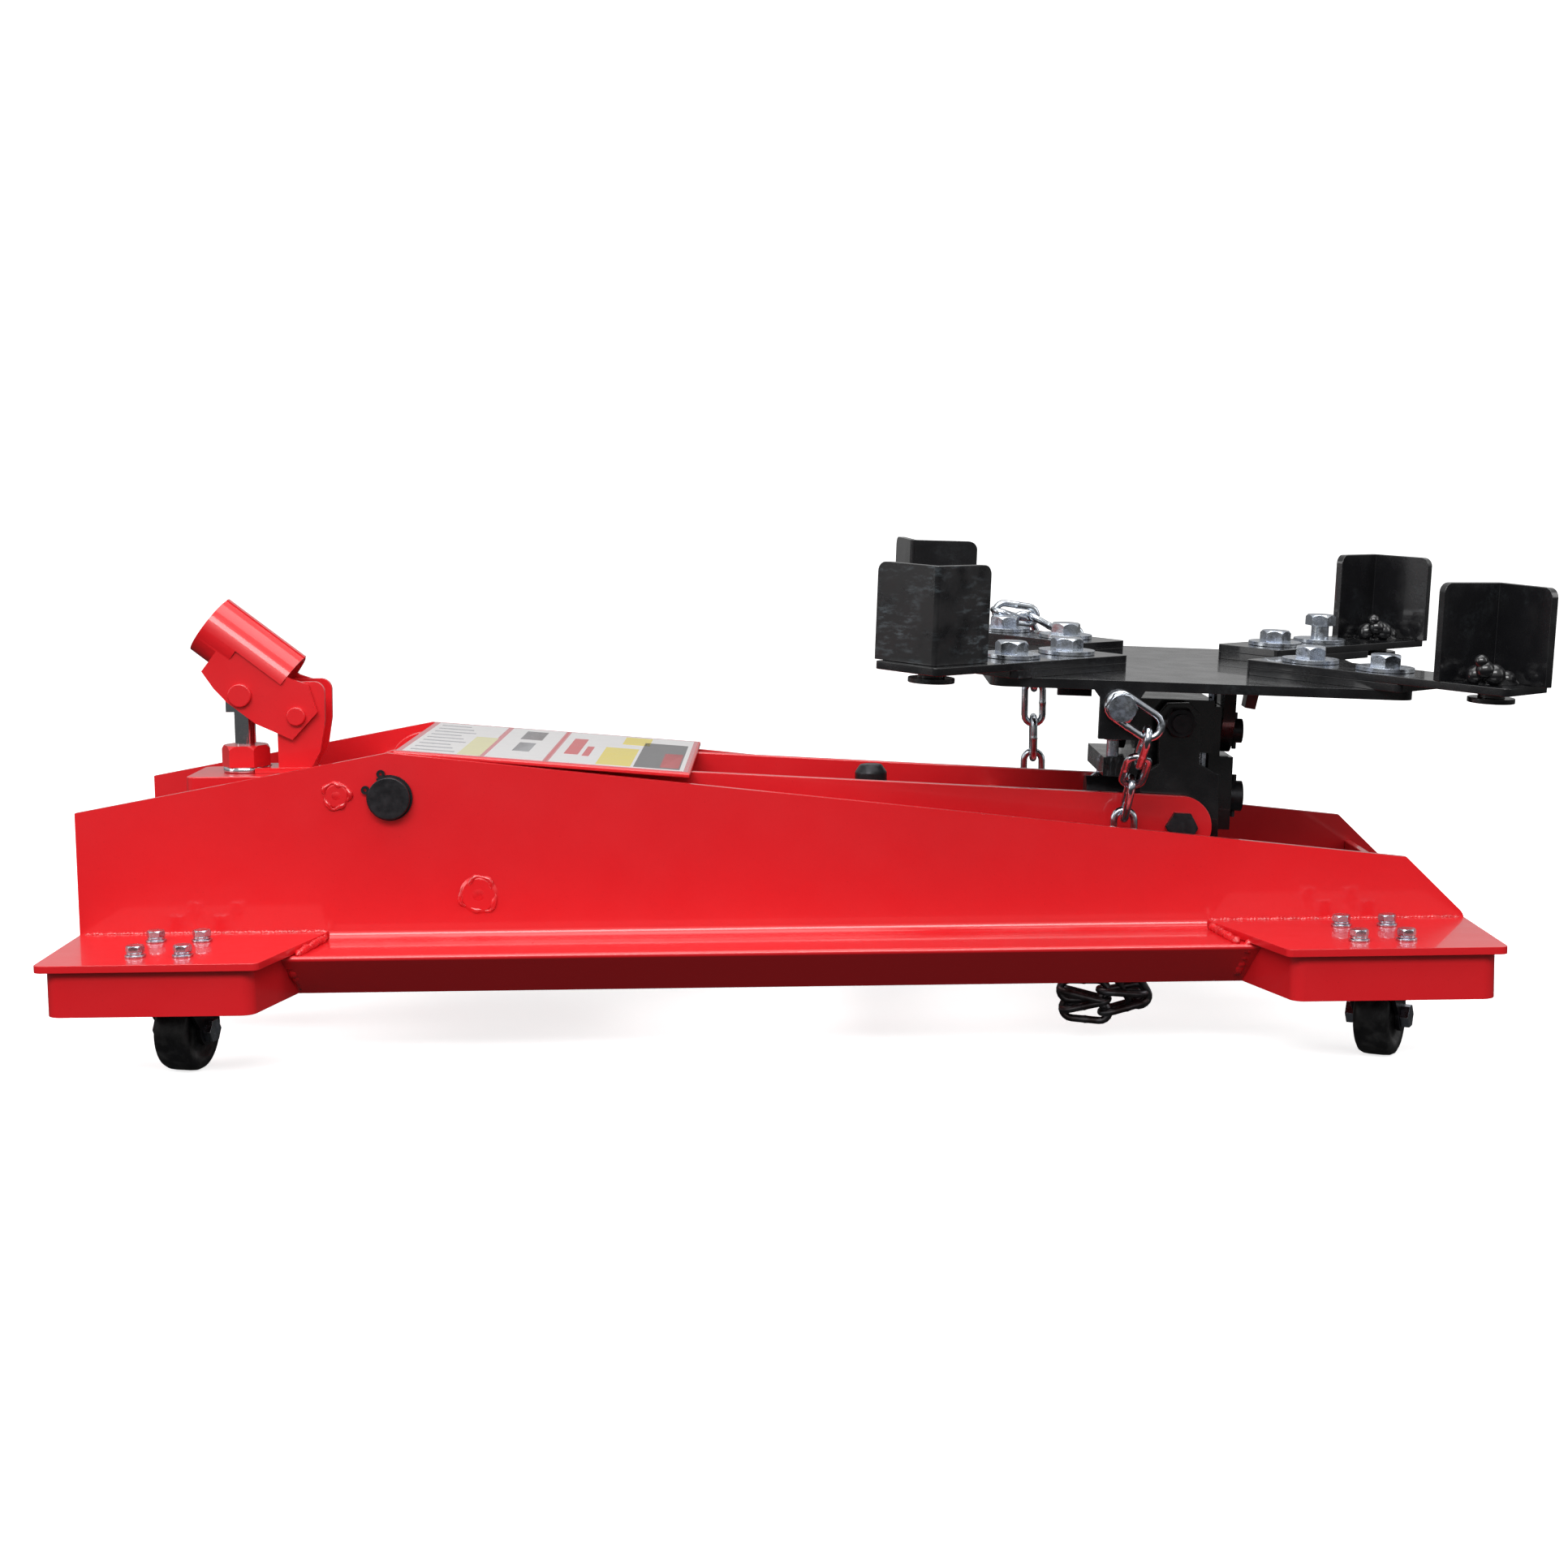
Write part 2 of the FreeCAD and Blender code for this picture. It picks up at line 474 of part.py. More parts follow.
node("arm_spreader", rod("8", "2*(arm_plate_y - arm_plate_t)",
                         ("150", "-arm_plate_y + arm_plate_t", "pivot_z"), "y"), ARM_AT)


def pivot_bolt():
    head = common(hexagon("10.4", "5", ("pivot_x + arm_len", "-arm_plate_y - 5.1", "pivot_z"), "y"),
                  cone("9", "14", "5", ("pivot_x + arm_len", "-arm_plate_y - 5.1", "pivot_z"), "y"))
    return fuse(head, rod("head_pin", "arm_plate_y - 42.9",
                          ("pivot_x + arm_len", "-arm_plate_y - 0.1", "pivot_z"), "y"))


near_bolt = pivot_bolt()
node("front_pivot_bolts", group(near_bolt, mirrored(near_bolt)), ARM_AT)

# --- links -------------------------------------------------------------------------------
lug_at = ARM_AT.multVec(Vector(size("pivot_x") + size("lug_drop") * math.cos(LUG_ANGLE), 0,
                               size("pivot_z") + size("lug_drop") * math.sin(LUG_ANGLE)))
cross_x = size("block_x") + size("tube_len") + 32
cross_z = size("unit_z")


def pull_link():
    bar = profile("XZ_Plane", [
        (f"{lug_at.x:.3f}", f"{lug_at.z:.3f} + 9"), (f"{lug_at.x:.3f}", f"{lug_at.z:.3f} - 9"),
        (f"{cross_x}", f"{cross_z} - 13.5"), (f"{cross_x}", f"{cross_z} + 14")],
        "pull_t", "pull_in")
    eyes = [rod("11", "pull_t", (f"{lug_at.x:.3f}", "-pull_in - pull_t", f"{lug_at.z:.3f}"), "y"),
            rod("13.7", "pull_t", (f"{cross_x}", "-pull_in - pull_t", "unit_z"), "y")]
    slot = [rod("cross_pin + 0.6", "9", (f"{cross_x}", "-pull_in - 7", f"unit_z {dz}"), "y")
            for dz in ("- 2.8", "+ 3.9")]
    window = box("2*cross_pin + 1.2", "9", "6.7", (f"{cross_x} - cross_pin - 0.6", "-pull_in - 7",
                                                  "unit_z - 2.8"))
    return cut(fuse(bar, *eyes), *slot, window,
               rod("lug_pin + run_gap", "9", (f"{lug_at.x:.3f}", "-pull_in - 7",
                                              f"{lug_at.z:.3f}"), "y"))


near_pull = pull_link()
node("pull_links", group(near_pull, mirrored(near_pull)))
LINK_AT = turned(Vector(0, 1, 0), ARM_TILT, Vector(size("pivot_x"), 0,
                                                   size("pivot_z") - size("link_drop")))


def level_link():
    bar = box("arm_len", "link_t", "16", ("pivot_x", "-link_in - link_t", "pivot_z - link_drop - 8"))
    eyes = [rod("12.5", "link_t", (x, "-link_in - link_t", "pivot_z - link_drop"), "y")
            for x in ("pivot_x", "pivot_x + arm_len")]
    return cut(fuse(bar, *eyes),
               rod("link_pin", "20", ("pivot_x", "-link_in - 12", "pivot_z - link_drop"), "y"),
               rod("link_pin + 0.3", "20", ("pivot_x + arm_len", "-link_in - 12",
                                            "pivot_z - link_drop"), "y"))


near_link = level_link()
node("level_links", group(near_link, mirrored(near_link)), LINK_AT)

# --- head that stays level, and the cradle that pitches on it -----------------------------
front = ARM_AT.multVec(Vector(size("pivot_x") + size("arm_len"), 0, size("pivot_z")))
plate = profile("XZ_Plane", [
    ("head_x - 25", "84"), ("head_x + 25", "84"), ("head_x + 25", "163"), ("head_x + 13", "170"),
    ("head_x + 13", "202"), ("head_x + 7", "209"), ("head_x - 7", "209"), ("head_x - 13", "202"),
    ("head_x - 13", "170"), ("head_x - 25", "163")], "cheek_t", "cheek_in")
plate = cut(plate,
            rod("head_pin + run_gap", "20", (f"{front.x:.3f}", "-cheek_in - 12", f"{front.z:.3f}"), "y"),
            rod("stub_pin", "20", ("head_x", "-cheek_in - 12", "pitch_z"), "y"))
link_stub = rod("link_pin", "cheek_in - link_in + 1", (f"{front.x:.3f}", "-cheek_in - 0.5",
                                                       f"{front.z:.3f} - link_drop"), "y")
floor_plate = box("40", "2*cheek_in + 0.4", "5", ("head_x - 15", "-cheek_in - 0.2", "107.5"))
node("head_frame", fuse(plate, mirrored(plate), link_stub, mirrored(link_stub), floor_plate))


def pitch_bolt():
    nut = common(hexagon("10.4", "8", ("head_x", "-cheek_in - cheek_t - 8.1", "pitch_z"), "y"),
                 cone("8.8", "18", "8", ("head_x", "-cheek_in - cheek_t - 8.1", "pitch_z"), "y"))
    return fuse(nut, rod("stub_pin", "cheek_t + 35", ("head_x", "-cheek_in - cheek_t - 12",
                                                      "pitch_z"), "y"))


near_stub = pitch_bolt()
node("pitch_bolts", group(near_stub, mirrored(near_stub)))
parts = [box("50", "66", "34", ("head_x - 25", "-33", "176")),
         box("7.1", "40", "80", ("head_x + 24.9", "-20", "125")),
         box("16", "40", "47.5", ("head_x + 25", "-20", "125")),
         box("22", "84", "12", ("head_x - 46", "-42", "160")),
         box("12", "60", "20", ("head_x - 25", "-30", "160"))]
stub_holes = [rod("stub_pin + run_gap", "20", ("head_x", y, "pitch_z"), "y") for y in ("-40", "20")]
cradle = cut(fuse(*parts), *stub_holes,
             rod("roll_pin + run_gap", "120", ("head_x - 60", "0", "roll_z"), "x"),
             rod("10", "120", ("head_x - 60", "0", "145"), "x"))
node("cradle", cradle, PITCH_AT)
lower = cut(rod("10", "103", ("head_x - 52", "0", "145"), "x"),
            rod("1.6", "30", ("head_x + 46", "0", "130")))
node("lower_shaft", group(lower, rod("1.5", "28", ("head_x + 46", "0", "131"))), PITCH_AT)
screws = [fuse(rod("4", "24", ("head_x - 40", "-37", "172.1")),
               rod("6", "3", ("head_x - 40", "-37", "183"))),
          fuse(rod("2.5", "10", ("head_x - 38", "34", "150.1")),
               ball("8", ("head_x - 38", "34", "146"))),
          rod("2.8", "16", ("head_x + 29", "0", "205.1")),
          fuse(rod("2.6", "15", ("head_x + 20", "-24", "160.9")),
               rod("4", "2.5", ("head_x + 20", "-24", "163")))]
node("cradle_screws", group(*screws), PITCH_AT)

# --- saddle, drawn level and then tipped by its stored pitch and roll ----------------------
plate = bevel(box("2*plate_dx", "2*plate_dy", "plate_t",
                  ("saddle_x - plate_dx", "-plate_dy", "plate_top - plate_t")),
              10, lambda p, e: upright(e))
tab = fuse(profile("XZ_Plane", [
    ("196", "plate_top - plate_t + 0.1"), ("200", "plate_top - plate_t - 5"), ("200", "194.5"),
    ("224", "194.5"), ("224", "plate_top - plate_t - 5"), ("227", "plate_top - plate_t + 0.1")],
    "5", "plate_dy - 5"))
hanger = profile("YZ_Plane", [("-20", "plate_top - plate_t + 0.1"), ("-20", "198"), ("-13.4", "roll_z - 4"),
                              ("13.4", "roll_z - 4"), ("20", "198"),
                              ("20", "plate_top - plate_t + 0.1")], "8", "293")
hanger = fuse(hanger, rod("14", "8", ("293", "0", "roll_z"), "x"))
rear_hanger = profile("YZ_Plane", [("-20", "plate_top - plate_t + 0.1"), ("-20", "198"),
                                   ("-13.4", "roll_z - 4"), ("13.4", "roll_z - 4"), ("20", "198"),
                                   ("20", "plate_top - plate_t + 0.1")], "7", "225")
rear_hanger = fuse(rear_hanger, rod("14", "7", ("225", "0", "roll_z"), "x"))
holes = [rod("4.8", "20", ("212", y, "215"), "y") for y in ("-plate_dy - 5", "plate_dy - 15")]
saddle = cut(fuse(plate, tab, mirrored(tab), hanger, rear_hanger), *holes,
             rod("roll_pin", "200", ("200", "0", "roll_z"), "x"))
# each arm's line starts beside the saddle's middle; the rear far arm's starts nearer to it
ARM_FROM = {"rear_far": 7.0}
BAR_AT = {}
for end, ex in ENDS.items():
    for side, sy in SIDES.items():
        angle = math.degrees(math.atan2(sy, ex))
        start = size("saddle_x") + ex * ARM_FROM.get(f"{end}_{side}", size("bar_from"))
        BAR_AT[f"{end}_{side}"] = Placement(Vector(start, 0, 0), Rotation(Vector(0, 0, 1), angle))
tapped = []
for name, at in BAR_AT.items():
    for along in ("inner_bolt", "outer_bolt"):
        hole = group(rod("m_twelve", "20", (along, "0", "plate_top - 12")))
        hole.Placement = at
        tapped.append(hole)
node("saddle_plate", cut(saddle, *tapped), SADDLE_AT)
node("saddle_stop", profile("XZ_Plane", [
    ("312", "plate_top - plate_t - 0.1"), ("309", "204"), ("316", "203"),
    ("320", "plate_top - plate_t - 0.1")], "14", "-7"), SADDLE_AT)
roll = cut(rod("roll_pin", "89", ("220", "0", "roll_z"), "x"),
           rod("1.6", "30", ("304.5", "0", "roll_z - 15")))
node("roll_pin", group(roll, rod("1.5", "24", ("304.5", "0", "roll_z - 12"))), SADDLE_AT)
guides = []
bolt_set = []
PROUD = {"front_far": 9.0}
for name, at in BAR_AT.items():
    guide = bevel(box("guide_out - bar_in", "bar_w", "bar_t", ("bar_in", "-bar_w/2", "plate_top")),
                  4, lambda p, e: upright(e))
    guide = cut(guide, *[rod("m_twelve + 0.1", "20", (along, "0", "plate_top - 8"))
                         for along in ("inner_bolt", "outer_bolt")])
    guide = group(guide)
    guide.Placement = at
    guides.append(guide)
    bolts = []
    for along in ("inner_bolt", "outer_bolt"):
        lift = PROUD.get(name, 0.0) if along == "outer_bolt" else 0.0
        top = f"plate_top + 2*bar_t + 2.7 + {lift}"
        crown = common(hexagon("10.4", "7.5", (along, "0", top)),
                       cone("15.5", "8.8", "7.5", (along, "0", top)))
        bolts.append(fuse(rod("m_twelve", f"{top} - plate_top + plate_t",
                              (along, "0", "plate_top - plate_t + 0.5")), crown))
        bolts.append(cut(rod("17.75", "2.5", (along, "0", "plate_top + 2*bar_t + 0.2")),
                         rod("m_twelve + 0.3", "9", (along, "0", "plate_top + 2*bar_t - 3"))))
    bolts = group(*bolts)
    bolts.Placement = at
    bolt_set.append(bolts)
node("saddle_guides", group(*guides), SADDLE_AT)
node("saddle_bolts", group(*bolt_set), SADDLE_AT)


def chain_bolt():
    crown = common(hexagon("9.8", "6.4", ("212", "-plate_dy - 12.6", "215"), "y"),
                   cone("8.4", "16", "6.4", ("212", "-plate_dy - 12.6", "215"), "y"))
    return fuse(crown, rod("4.75", "18", ("212", "-plate_dy - 6.3", "215"), "y"),
                hexagon("9.2", "6", ("212", "-plate_dy + 5.1", "215"), "y"))


near_chain_bolt = chain_bolt()
node("chain_bolts", group(near_chain_bolt, mirrored(near_chain_bolt)), SADDLE_AT)

# turn of each corner bracket about its swivel, measured in the saddle's own frame
BRACKET_TURN = {"rear_near": 45.0, "front_near": -152.0, "front_far": -135.0, "rear_far": 10.0}
for name, at in BAR_AT.items():
    bar = box("arm_out - bar_in", "bar_w", "bar_t - 0.05",
              ("bar_in", "-bar_w/2", "plate_top + bar_t + 0.05"))
    bar = bevel(bar, 4, lambda p, e: upright(e))
    slots = []
    for along in ("inner_bolt", "outer_bolt"):
        for turn in ("-", "+"):
            slots.append(rod("m_twelve + 0.5", "12", (f"{along} {turn} slot_run", "0", "plate_top")))
        slots.append(box("2*slot_run", "2*m_twelve + 1", "12",
                         (f"{along} - slot_run", "-m_twelve - 0.5", "plate_top")))
    bar = cut(bar, *slots, rod("8.05", "20", ("swivel_at", "0", "plate_top")))
    node(f"saddle_arm_{name}", bar, SADDLE_AT.multiply(at))
    legs = fuse(box("bracket_leg", "bracket_t", "bracket_h", ("-17", "-17", "0")),
                box("bracket_t", "bracket_leg", "bracket_h", ("-17", "-17", "0")))
    legs = bevel(legs, 3, lambda p, e: upright(e) and p.x < -16.9 and p.y < -16.9)
    legs = bevel(legs, 6, lambda p, e: p.z > size("bracket_h") - 0.1 and
                 ((p.x > 30.9 and p.y < -12) or (p.y > 30.9 and p.x < -12)))
    stem = fuse(legs, cone("15.5", "10", "6", ("0", "0", "0")),
                rod("8", "14", ("0", "0", "-10.5")), rod("14", "3", ("0", "0", "-11.8")))
    where = at.multVec(Vector(size("swivel_at"), 0, size("plate_top") + 2 * size("bar_t") + 0.1))
    node(f"bracket_{name}", group(stem),
         SADDLE_AT.multiply(Placement(where, Rotation(Vector(0, 0, 1), BRACKET_TURN[name]))))

# --- chains ------------------------------------------------------------------------------
def chain_link(length, width):
    """One welded link, flat in its own XY plane and lengthways along X."""
    bend = f"({width} - wire)/2"
    straight = f"{length} - {width}"
    parts = []
    for sign, turn in (("", -90), ("-", 90)):
        half = doc.addObject("Part::Torus", "Bend")
        bind(half, Radius1=bend, Radius2="wire/2")
        half.Angle3 = 180
        parts.append(place(half, (f"{sign}({straight})/2", "0", "0"), Rotation(Vector(0, 0, 1), turn)))
    for sign in ("", "-"):
        parts.append(rod("wire/2", straight, (f"-({straight})/2", f"{sign}{bend}", "0"), "x"))
    return fuse(*parts)


def laid(link, start, finish, roll):
    """A copy of a link between two points, rolled about its own length."""
    start, finish = Vector(*start), Vector(*finish)
    along = (finish - start).normalize()
    side = Vector(0, 1, 0) - along * along.y
    if side.Length < 0.3:
        side = Vector(0, 0, 1) - along * along.z
    side.normalize()
    copy = group(link)
    frame = Rotation(along, side, along.cross(side), "XYZ")
    copy.Placement = Placement((start + finish) * 0.5, frame * Rotation(Vector(1, 0, 0), roll))
    return copy


def chain(link, path, roll):
    """Links end to end through the joint points, each turned a quarter from the last."""
    return [laid(link, path[i], path[i + 1], roll + 90 * (i % 2)) for i in range(len(path) - 1)]


def stepped(corners, pitch, count):
    """Joint points one pitch apart along a run of straight legs."""
    points = [Vector(*corners[0])]
    leg = 0
    while len(points) <= count and leg < len(corners) - 1:
        finish = Vector(*corners[leg + 1])
        here = points[-1]
        if (finish - here).Length < pitch:
            leg += 1
            continue
        start = Vector(*corners[leg])
        run = (finish - start).normalize()
        near = (here - start).dot(run)
        off = (here - start - run * near).Length
        points.append(start + run * (near + math.sqrt(max(pitch ** 2 - off ** 2, 0))))
    return points


plain = chain_link("link_len", "link_w")
wide = chain_link("hook_len", "hook_w")
PITCH = size("link_len") - 2 * size("wire") - 0.5
HOOK_BEND = (size("hook_len") - size("hook_w")) / 2
HOOK_RAD = (size("hook_w") - size("wire")) / 2
LIE = (size("wire") + 0.5) / 2


def hooked(bolt, along):
    """The wide link standing round a bolt, and the centre of its free bend."""
    free_bend = bolt + along * 2 * HOOK_BEND
    return laid(wide, bolt, free_bend, 90), free_bend


def hung(bend, heading):
    """Where a chain that leaves a wide link's bend in some direction begins."""
    heading = Vector(*heading).normalize()
    level = Vector(heading.x, 0, heading.z).normalize()
    return bend + level * HOOK_RAD - heading * LIE


near_hook, near_bend = hooked(SADDLE_AT.multVec(Vector(212, -size("plate_dy") - 3.2, 215)),
                              Vector(0.829, 0, -0.559))
node("chain_hook_link", near_hook)
hanging = stepped([hung(near_bend, (-0.12, 0.74, -0.66)), (224, -88, 163), (221, -76, 141),
                   (221, -76, 20)], PITCH, 7)
# the rest lies heaped on the floor: heading and rise of each link in turn
HEAP = ((20, -58), (192, -12), (165, 3), (345, 14), (12, 8), (190, 6), (174, 0), (352, -14))
lying = [hanging[-1]]
for heading, rise in HEAP:
    h, r = math.radians(heading), math.radians(rise)
    lying.append(lying[-1] + Vector(math.cos(h) * math.cos(r), math.sin(h) * math.cos(r),
                                    math.sin(r)) * PITCH)
node("chain_near", group(*chain(plain, hanging + lying[1:], 0)))
far_hook, far_bend = hooked(SADDLE_AT.multVec(Vector(212, size("plate_dy") + 3.2, 215)),
                            Vector(-0.17, 0, 0.985))
over = [SADDLE_AT.multVec(Vector(*p)) for p in (
    (181, 123.4, 248.5), (160, 118, 251.5), (140, 124, 251.5), (146, 136, 251.5), (168, 136, 250),
    (184, 137, 238))]
over = [hung(far_bend, (-0.9, 0, 0.43))] + over + [Vector(184, 137, 112)]
node("chain_far", group(far_hook, *chain(plain, stepped(over, PITCH, 40), 0)))

# --- output ------------------------------------------------------------------------------
doc.recompute()
for obj in doc.Objects:
    for flag in ("Invalid", "Error"):
        if flag in obj.State:
            raise RuntimeError(f"{obj.Label}: {obj.State}")
for obj in subparts:
    if obj.Shape.isNull() or not obj.Shape.isValid():
        raise RuntimeError(f"{obj.Label}: bad shape")
os.makedirs("parts", exist_ok=True)
for obj in subparts:
    obj.Shape.exportStep(os.path.join("parts", obj.Label + ".step"))
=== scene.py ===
"""Looks for a low hydraulic transmission jack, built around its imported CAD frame."""

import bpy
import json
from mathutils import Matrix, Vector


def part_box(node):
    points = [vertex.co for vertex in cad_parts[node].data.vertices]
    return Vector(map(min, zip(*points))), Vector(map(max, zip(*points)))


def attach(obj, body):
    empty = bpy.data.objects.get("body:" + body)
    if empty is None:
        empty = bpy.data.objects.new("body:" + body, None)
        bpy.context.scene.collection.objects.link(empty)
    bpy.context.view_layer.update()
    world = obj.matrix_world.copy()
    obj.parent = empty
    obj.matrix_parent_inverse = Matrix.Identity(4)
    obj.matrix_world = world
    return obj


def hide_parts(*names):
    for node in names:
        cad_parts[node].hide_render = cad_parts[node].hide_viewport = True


bl_info = {
    "name": "Transmission Jack Looks",
    "version": (1, 0, 0),
    "blender": (4, 5, 0),
    "location": "View3D > Sidebar > Jack",
    "description": "Finishes, welds, chains and stage for a low transmission jack",
    "category": "Object",
}

import json
import math

import bmesh
import bpy
import numpy as np
from mathutils import Matrix, Vector

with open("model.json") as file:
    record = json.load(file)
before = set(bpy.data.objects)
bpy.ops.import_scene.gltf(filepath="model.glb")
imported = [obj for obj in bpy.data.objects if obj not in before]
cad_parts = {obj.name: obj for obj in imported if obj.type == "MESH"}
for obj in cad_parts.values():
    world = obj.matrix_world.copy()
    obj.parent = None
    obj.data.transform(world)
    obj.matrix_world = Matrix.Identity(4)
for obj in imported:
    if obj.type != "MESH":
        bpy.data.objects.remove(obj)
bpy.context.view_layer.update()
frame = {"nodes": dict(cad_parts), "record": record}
RECORD = frame["record"]
BODY_OF = {node: body for body, nodes in RECORD["behaviour"]["bodies"].items() for node in nodes}
JOINTS = {joint["name"]: joint for joint in RECORD["behaviour"]["joints"]}
MM = 0.001
CORNERS = ("rear_near", "rear_far", "front_near", "front_far")
SIDES = (("near", -1), ("far", 1))
# the pivot shaft's ends stand 7 mm past the outer faces of the rails' webs
RAIL_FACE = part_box("pivot_shaft")[1][1] - 7 * MM
FINISH = {}      # materials by plain name, filled by main()


# --- settings ----------------------------------------------------------------------------
class JackFinishes(bpy.types.PropertyGroup):
    """Paint and plating colours."""
    red: bpy.props.FloatVectorProperty(
        name="Red", description="Gloss enamel on the chassis and arm", subtype="COLOR",
        size=3, min=0, max=1, default=(0.74, 0.012, 0.018))
    deep_red: bpy.props.FloatVectorProperty(
        name="Deep red", description="Thin or shaded enamel", subtype="COLOR",
        size=3, min=0, max=1, default=(0.50, 0.006, 0.010))
    black: bpy.props.FloatVectorProperty(
        name="Black", description="Gloss black on the saddle", subtype="COLOR",
        size=3, min=0, max=1, default=(0.006, 0.006, 0.007))
    dust: bpy.props.FloatVectorProperty(
        name="Dust", description="Dust and scuffs on black steel", subtype="COLOR",
        size=3, min=0, max=1, default=(0.10, 0.12, 0.13))
    zinc: bpy.props.FloatVectorProperty(
        name="Zinc", description="Bright zinc plate on bolts and chain", subtype="COLOR",
        size=3, min=0, max=1, default=(0.62, 0.66, 0.70))
    # the colour that the chain's links are darkened to towards the floor
    chain_low_colour: bpy.props.FloatVectorProperty(
        name="Low chain colour", description="Colour the chain is darkened to towards the floor", subtype="COLOR",
        size=3, min=0, max=1, default=(0.09, 0.07, 0.07))


class JackSizes(bpy.types.PropertyGroup):
    """Sizes of the worked edges and welds."""
    plate_edge: bpy.props.FloatProperty(
        name="Plate edge", description="Rounding along the cut edges of painted plate",
        unit="LENGTH", min=0, default=0.0009)
    bolt_edge: bpy.props.FloatProperty(
        name="Bolt edge", description="Rounding along the edges of bolts and pins",
        unit="LENGTH", min=0, default=0.0004)
    bead: bpy.props.FloatProperty(
        name="Weld bead", description="Radius of the weld beads", unit="LENGTH",
        min=0, default=0.0024)
    label_thick: bpy.props.FloatProperty(
        name="Label", description="Thickness of the label on the arm's cover", unit="LENGTH",
        min=0, default=0.0003)


class JackStage(bpy.types.PropertyGroup):
    """Camera and lights."""
    lens: bpy.props.FloatProperty(
        name="Lens", description="Focal length on a 36 mm sensor, in mm", default=56.63)
    eye: bpy.props.FloatVectorProperty(
        name="Eye", description="Camera place", subtype="TRANSLATION", size=3,
        default=(-0.00289, -1.60906, 0.35652))
    turn: bpy.props.FloatVectorProperty(
        name="Turn", description="Camera yaw, pitch down and roll", subtype="EULER", size=3,
        default=(math.radians(0.22), math.radians(6.5), math.radians(-0.72)))
    shift: bpy.props.FloatVectorProperty(
        name="Shift", description="Lens shift across and up", size=2, default=(-0.01346, -0.01832))
    fill: bpy.props.FloatProperty(
        name="Fill", description="Strength of the pale surround", min=0, default=0.55)
    glow: bpy.props.FloatProperty(
        name="Glow", description="Light given off by the white floor itself", min=0, default=0.75)


# --- materials ---------------------------------------------------------------------------
class Finish:
    """A node material under construction: colour, roughness and bump on Object coordinates."""

    def __init__(self, name, roughness, metallic=0.0, coat=0.0, coat_roughness=0.05, specular=0.5):
        self.material = bpy.data.materials.new(name)
        self.material.use_nodes = True
        self.nodes = self.material.node_tree.nodes
        self.links = self.material.node_tree.links
        self.shader = self.nodes["Principled BSDF"]
        self.shader.inputs["Roughness"].default_value = roughness
        self.shader.inputs["Metallic"].default_value = metallic
        self.shader.inputs["Coat Weight"].default_value = coat
        self.shader.inputs["Coat Roughness"].default_value = coat_roughness
        self.shader.inputs["Specular IOR Level"].default_value = specular
        self.place = self.nodes.new("ShaderNodeTexCoord").outputs["Object"]

    def noise(self, scale, detail=3.0, stretch=(1, 1, 1), rough=0.5):
        """Noise of about 1/scale metres, optionally stretched along an axis."""
        mapping = self.nodes.new("ShaderNodeMapping")
        mapping.inputs["Scale"].default_value = stretch
        self.links.new(self.place, mapping.inputs["Vector"])
        texture = self.nodes.new("ShaderNodeTexNoise")
        texture.inputs["Scale"].default_value = scale
        texture.inputs["Detail"].default_value = detail
        texture.inputs["Roughness"].default_value = rough
        self.links.new(mapping.outputs["Vector"], texture.inputs["Vector"])
        return texture.outputs["Fac"]

    def height(self, low, high):
        """0 at the low height, 1 at the high one."""
        split = self.nodes.new("ShaderNodeSeparateXYZ")
        self.links.new(self.place, split.inputs["Vector"])
        return self.spread(split.outputs["Z"], low, high, 0.0, 1.0)

    def spread(self, value, low, high, to_low, to_high):
        """A value's range from low to high stretched to another range, and cut off there."""
        remap = self.nodes.new("ShaderNodeMapRange")
        self.links.new(value, remap.inputs["Value"])
        for name, number in (("From Min", low), ("From Max", high),
                             ("To Min", to_low), ("To Max", to_high)):
            remap.inputs[name].default_value = number
        return remap.outputs["Result"]

    def product(self, one, other):
        """Two values multiplied."""
        node = self.nodes.new("ShaderNodeMath")
        node.operation = "MULTIPLY"
        self.links.new(one, node.inputs[0])
        self.links.new(other, node.inputs[1])
        return node.outputs["Value"]

    def mix(self, factor, first, second):
        """Colours mixed by a factor; either may be a colour or another mix's output."""
        node = self.nodes.new("ShaderNodeMix")
        node.data_type = "RGBA"
        self.links.new(factor, node.inputs["Factor"])
        # 6 and 7 are the colour inputs A and B, and 2 is the colour output
        for socket, value in ((node.inputs[6], first), (node.inputs[7], second)):
            if isinstance(value, bpy.types.NodeSocket):
                self.links.new(value, socket)
            else:
                socket.default_value = (*value, 1.0)
        return node.outputs[2]

    def colour(self, value):
        """Set the base colour from a plain colour or a node's output."""
        if isinstance(value, bpy.types.NodeSocket):
            self.links.new(value, self.shader.inputs["Base Color"])
        else:
            self.shader.inputs["Base Color"].default_value = (*value, 1.0)
        return self

    def roughness(self, value):
        """Drive the roughness by a node's output."""
        self.links.new(value, self.shader.inputs["Roughness"])
        return self

    def bump(self, height, depth, strength=1.0):
        """Raise the surface by a height pattern, on top of any bump it has."""
        node = self.nodes.new("ShaderNodeBump")
        node.inputs["Distance"].default_value = depth
        node.inputs["Strength"].default_value = strength
        self.links.new(height, node.inputs["Height"])
        previous = self.shader.inputs["Normal"].links
        if previous:
            self.links.new(previous[0].from_socket, node.inputs["Normal"])
        self.links.new(node.outputs["Normal"], self.shader.inputs["Normal"])
        return self


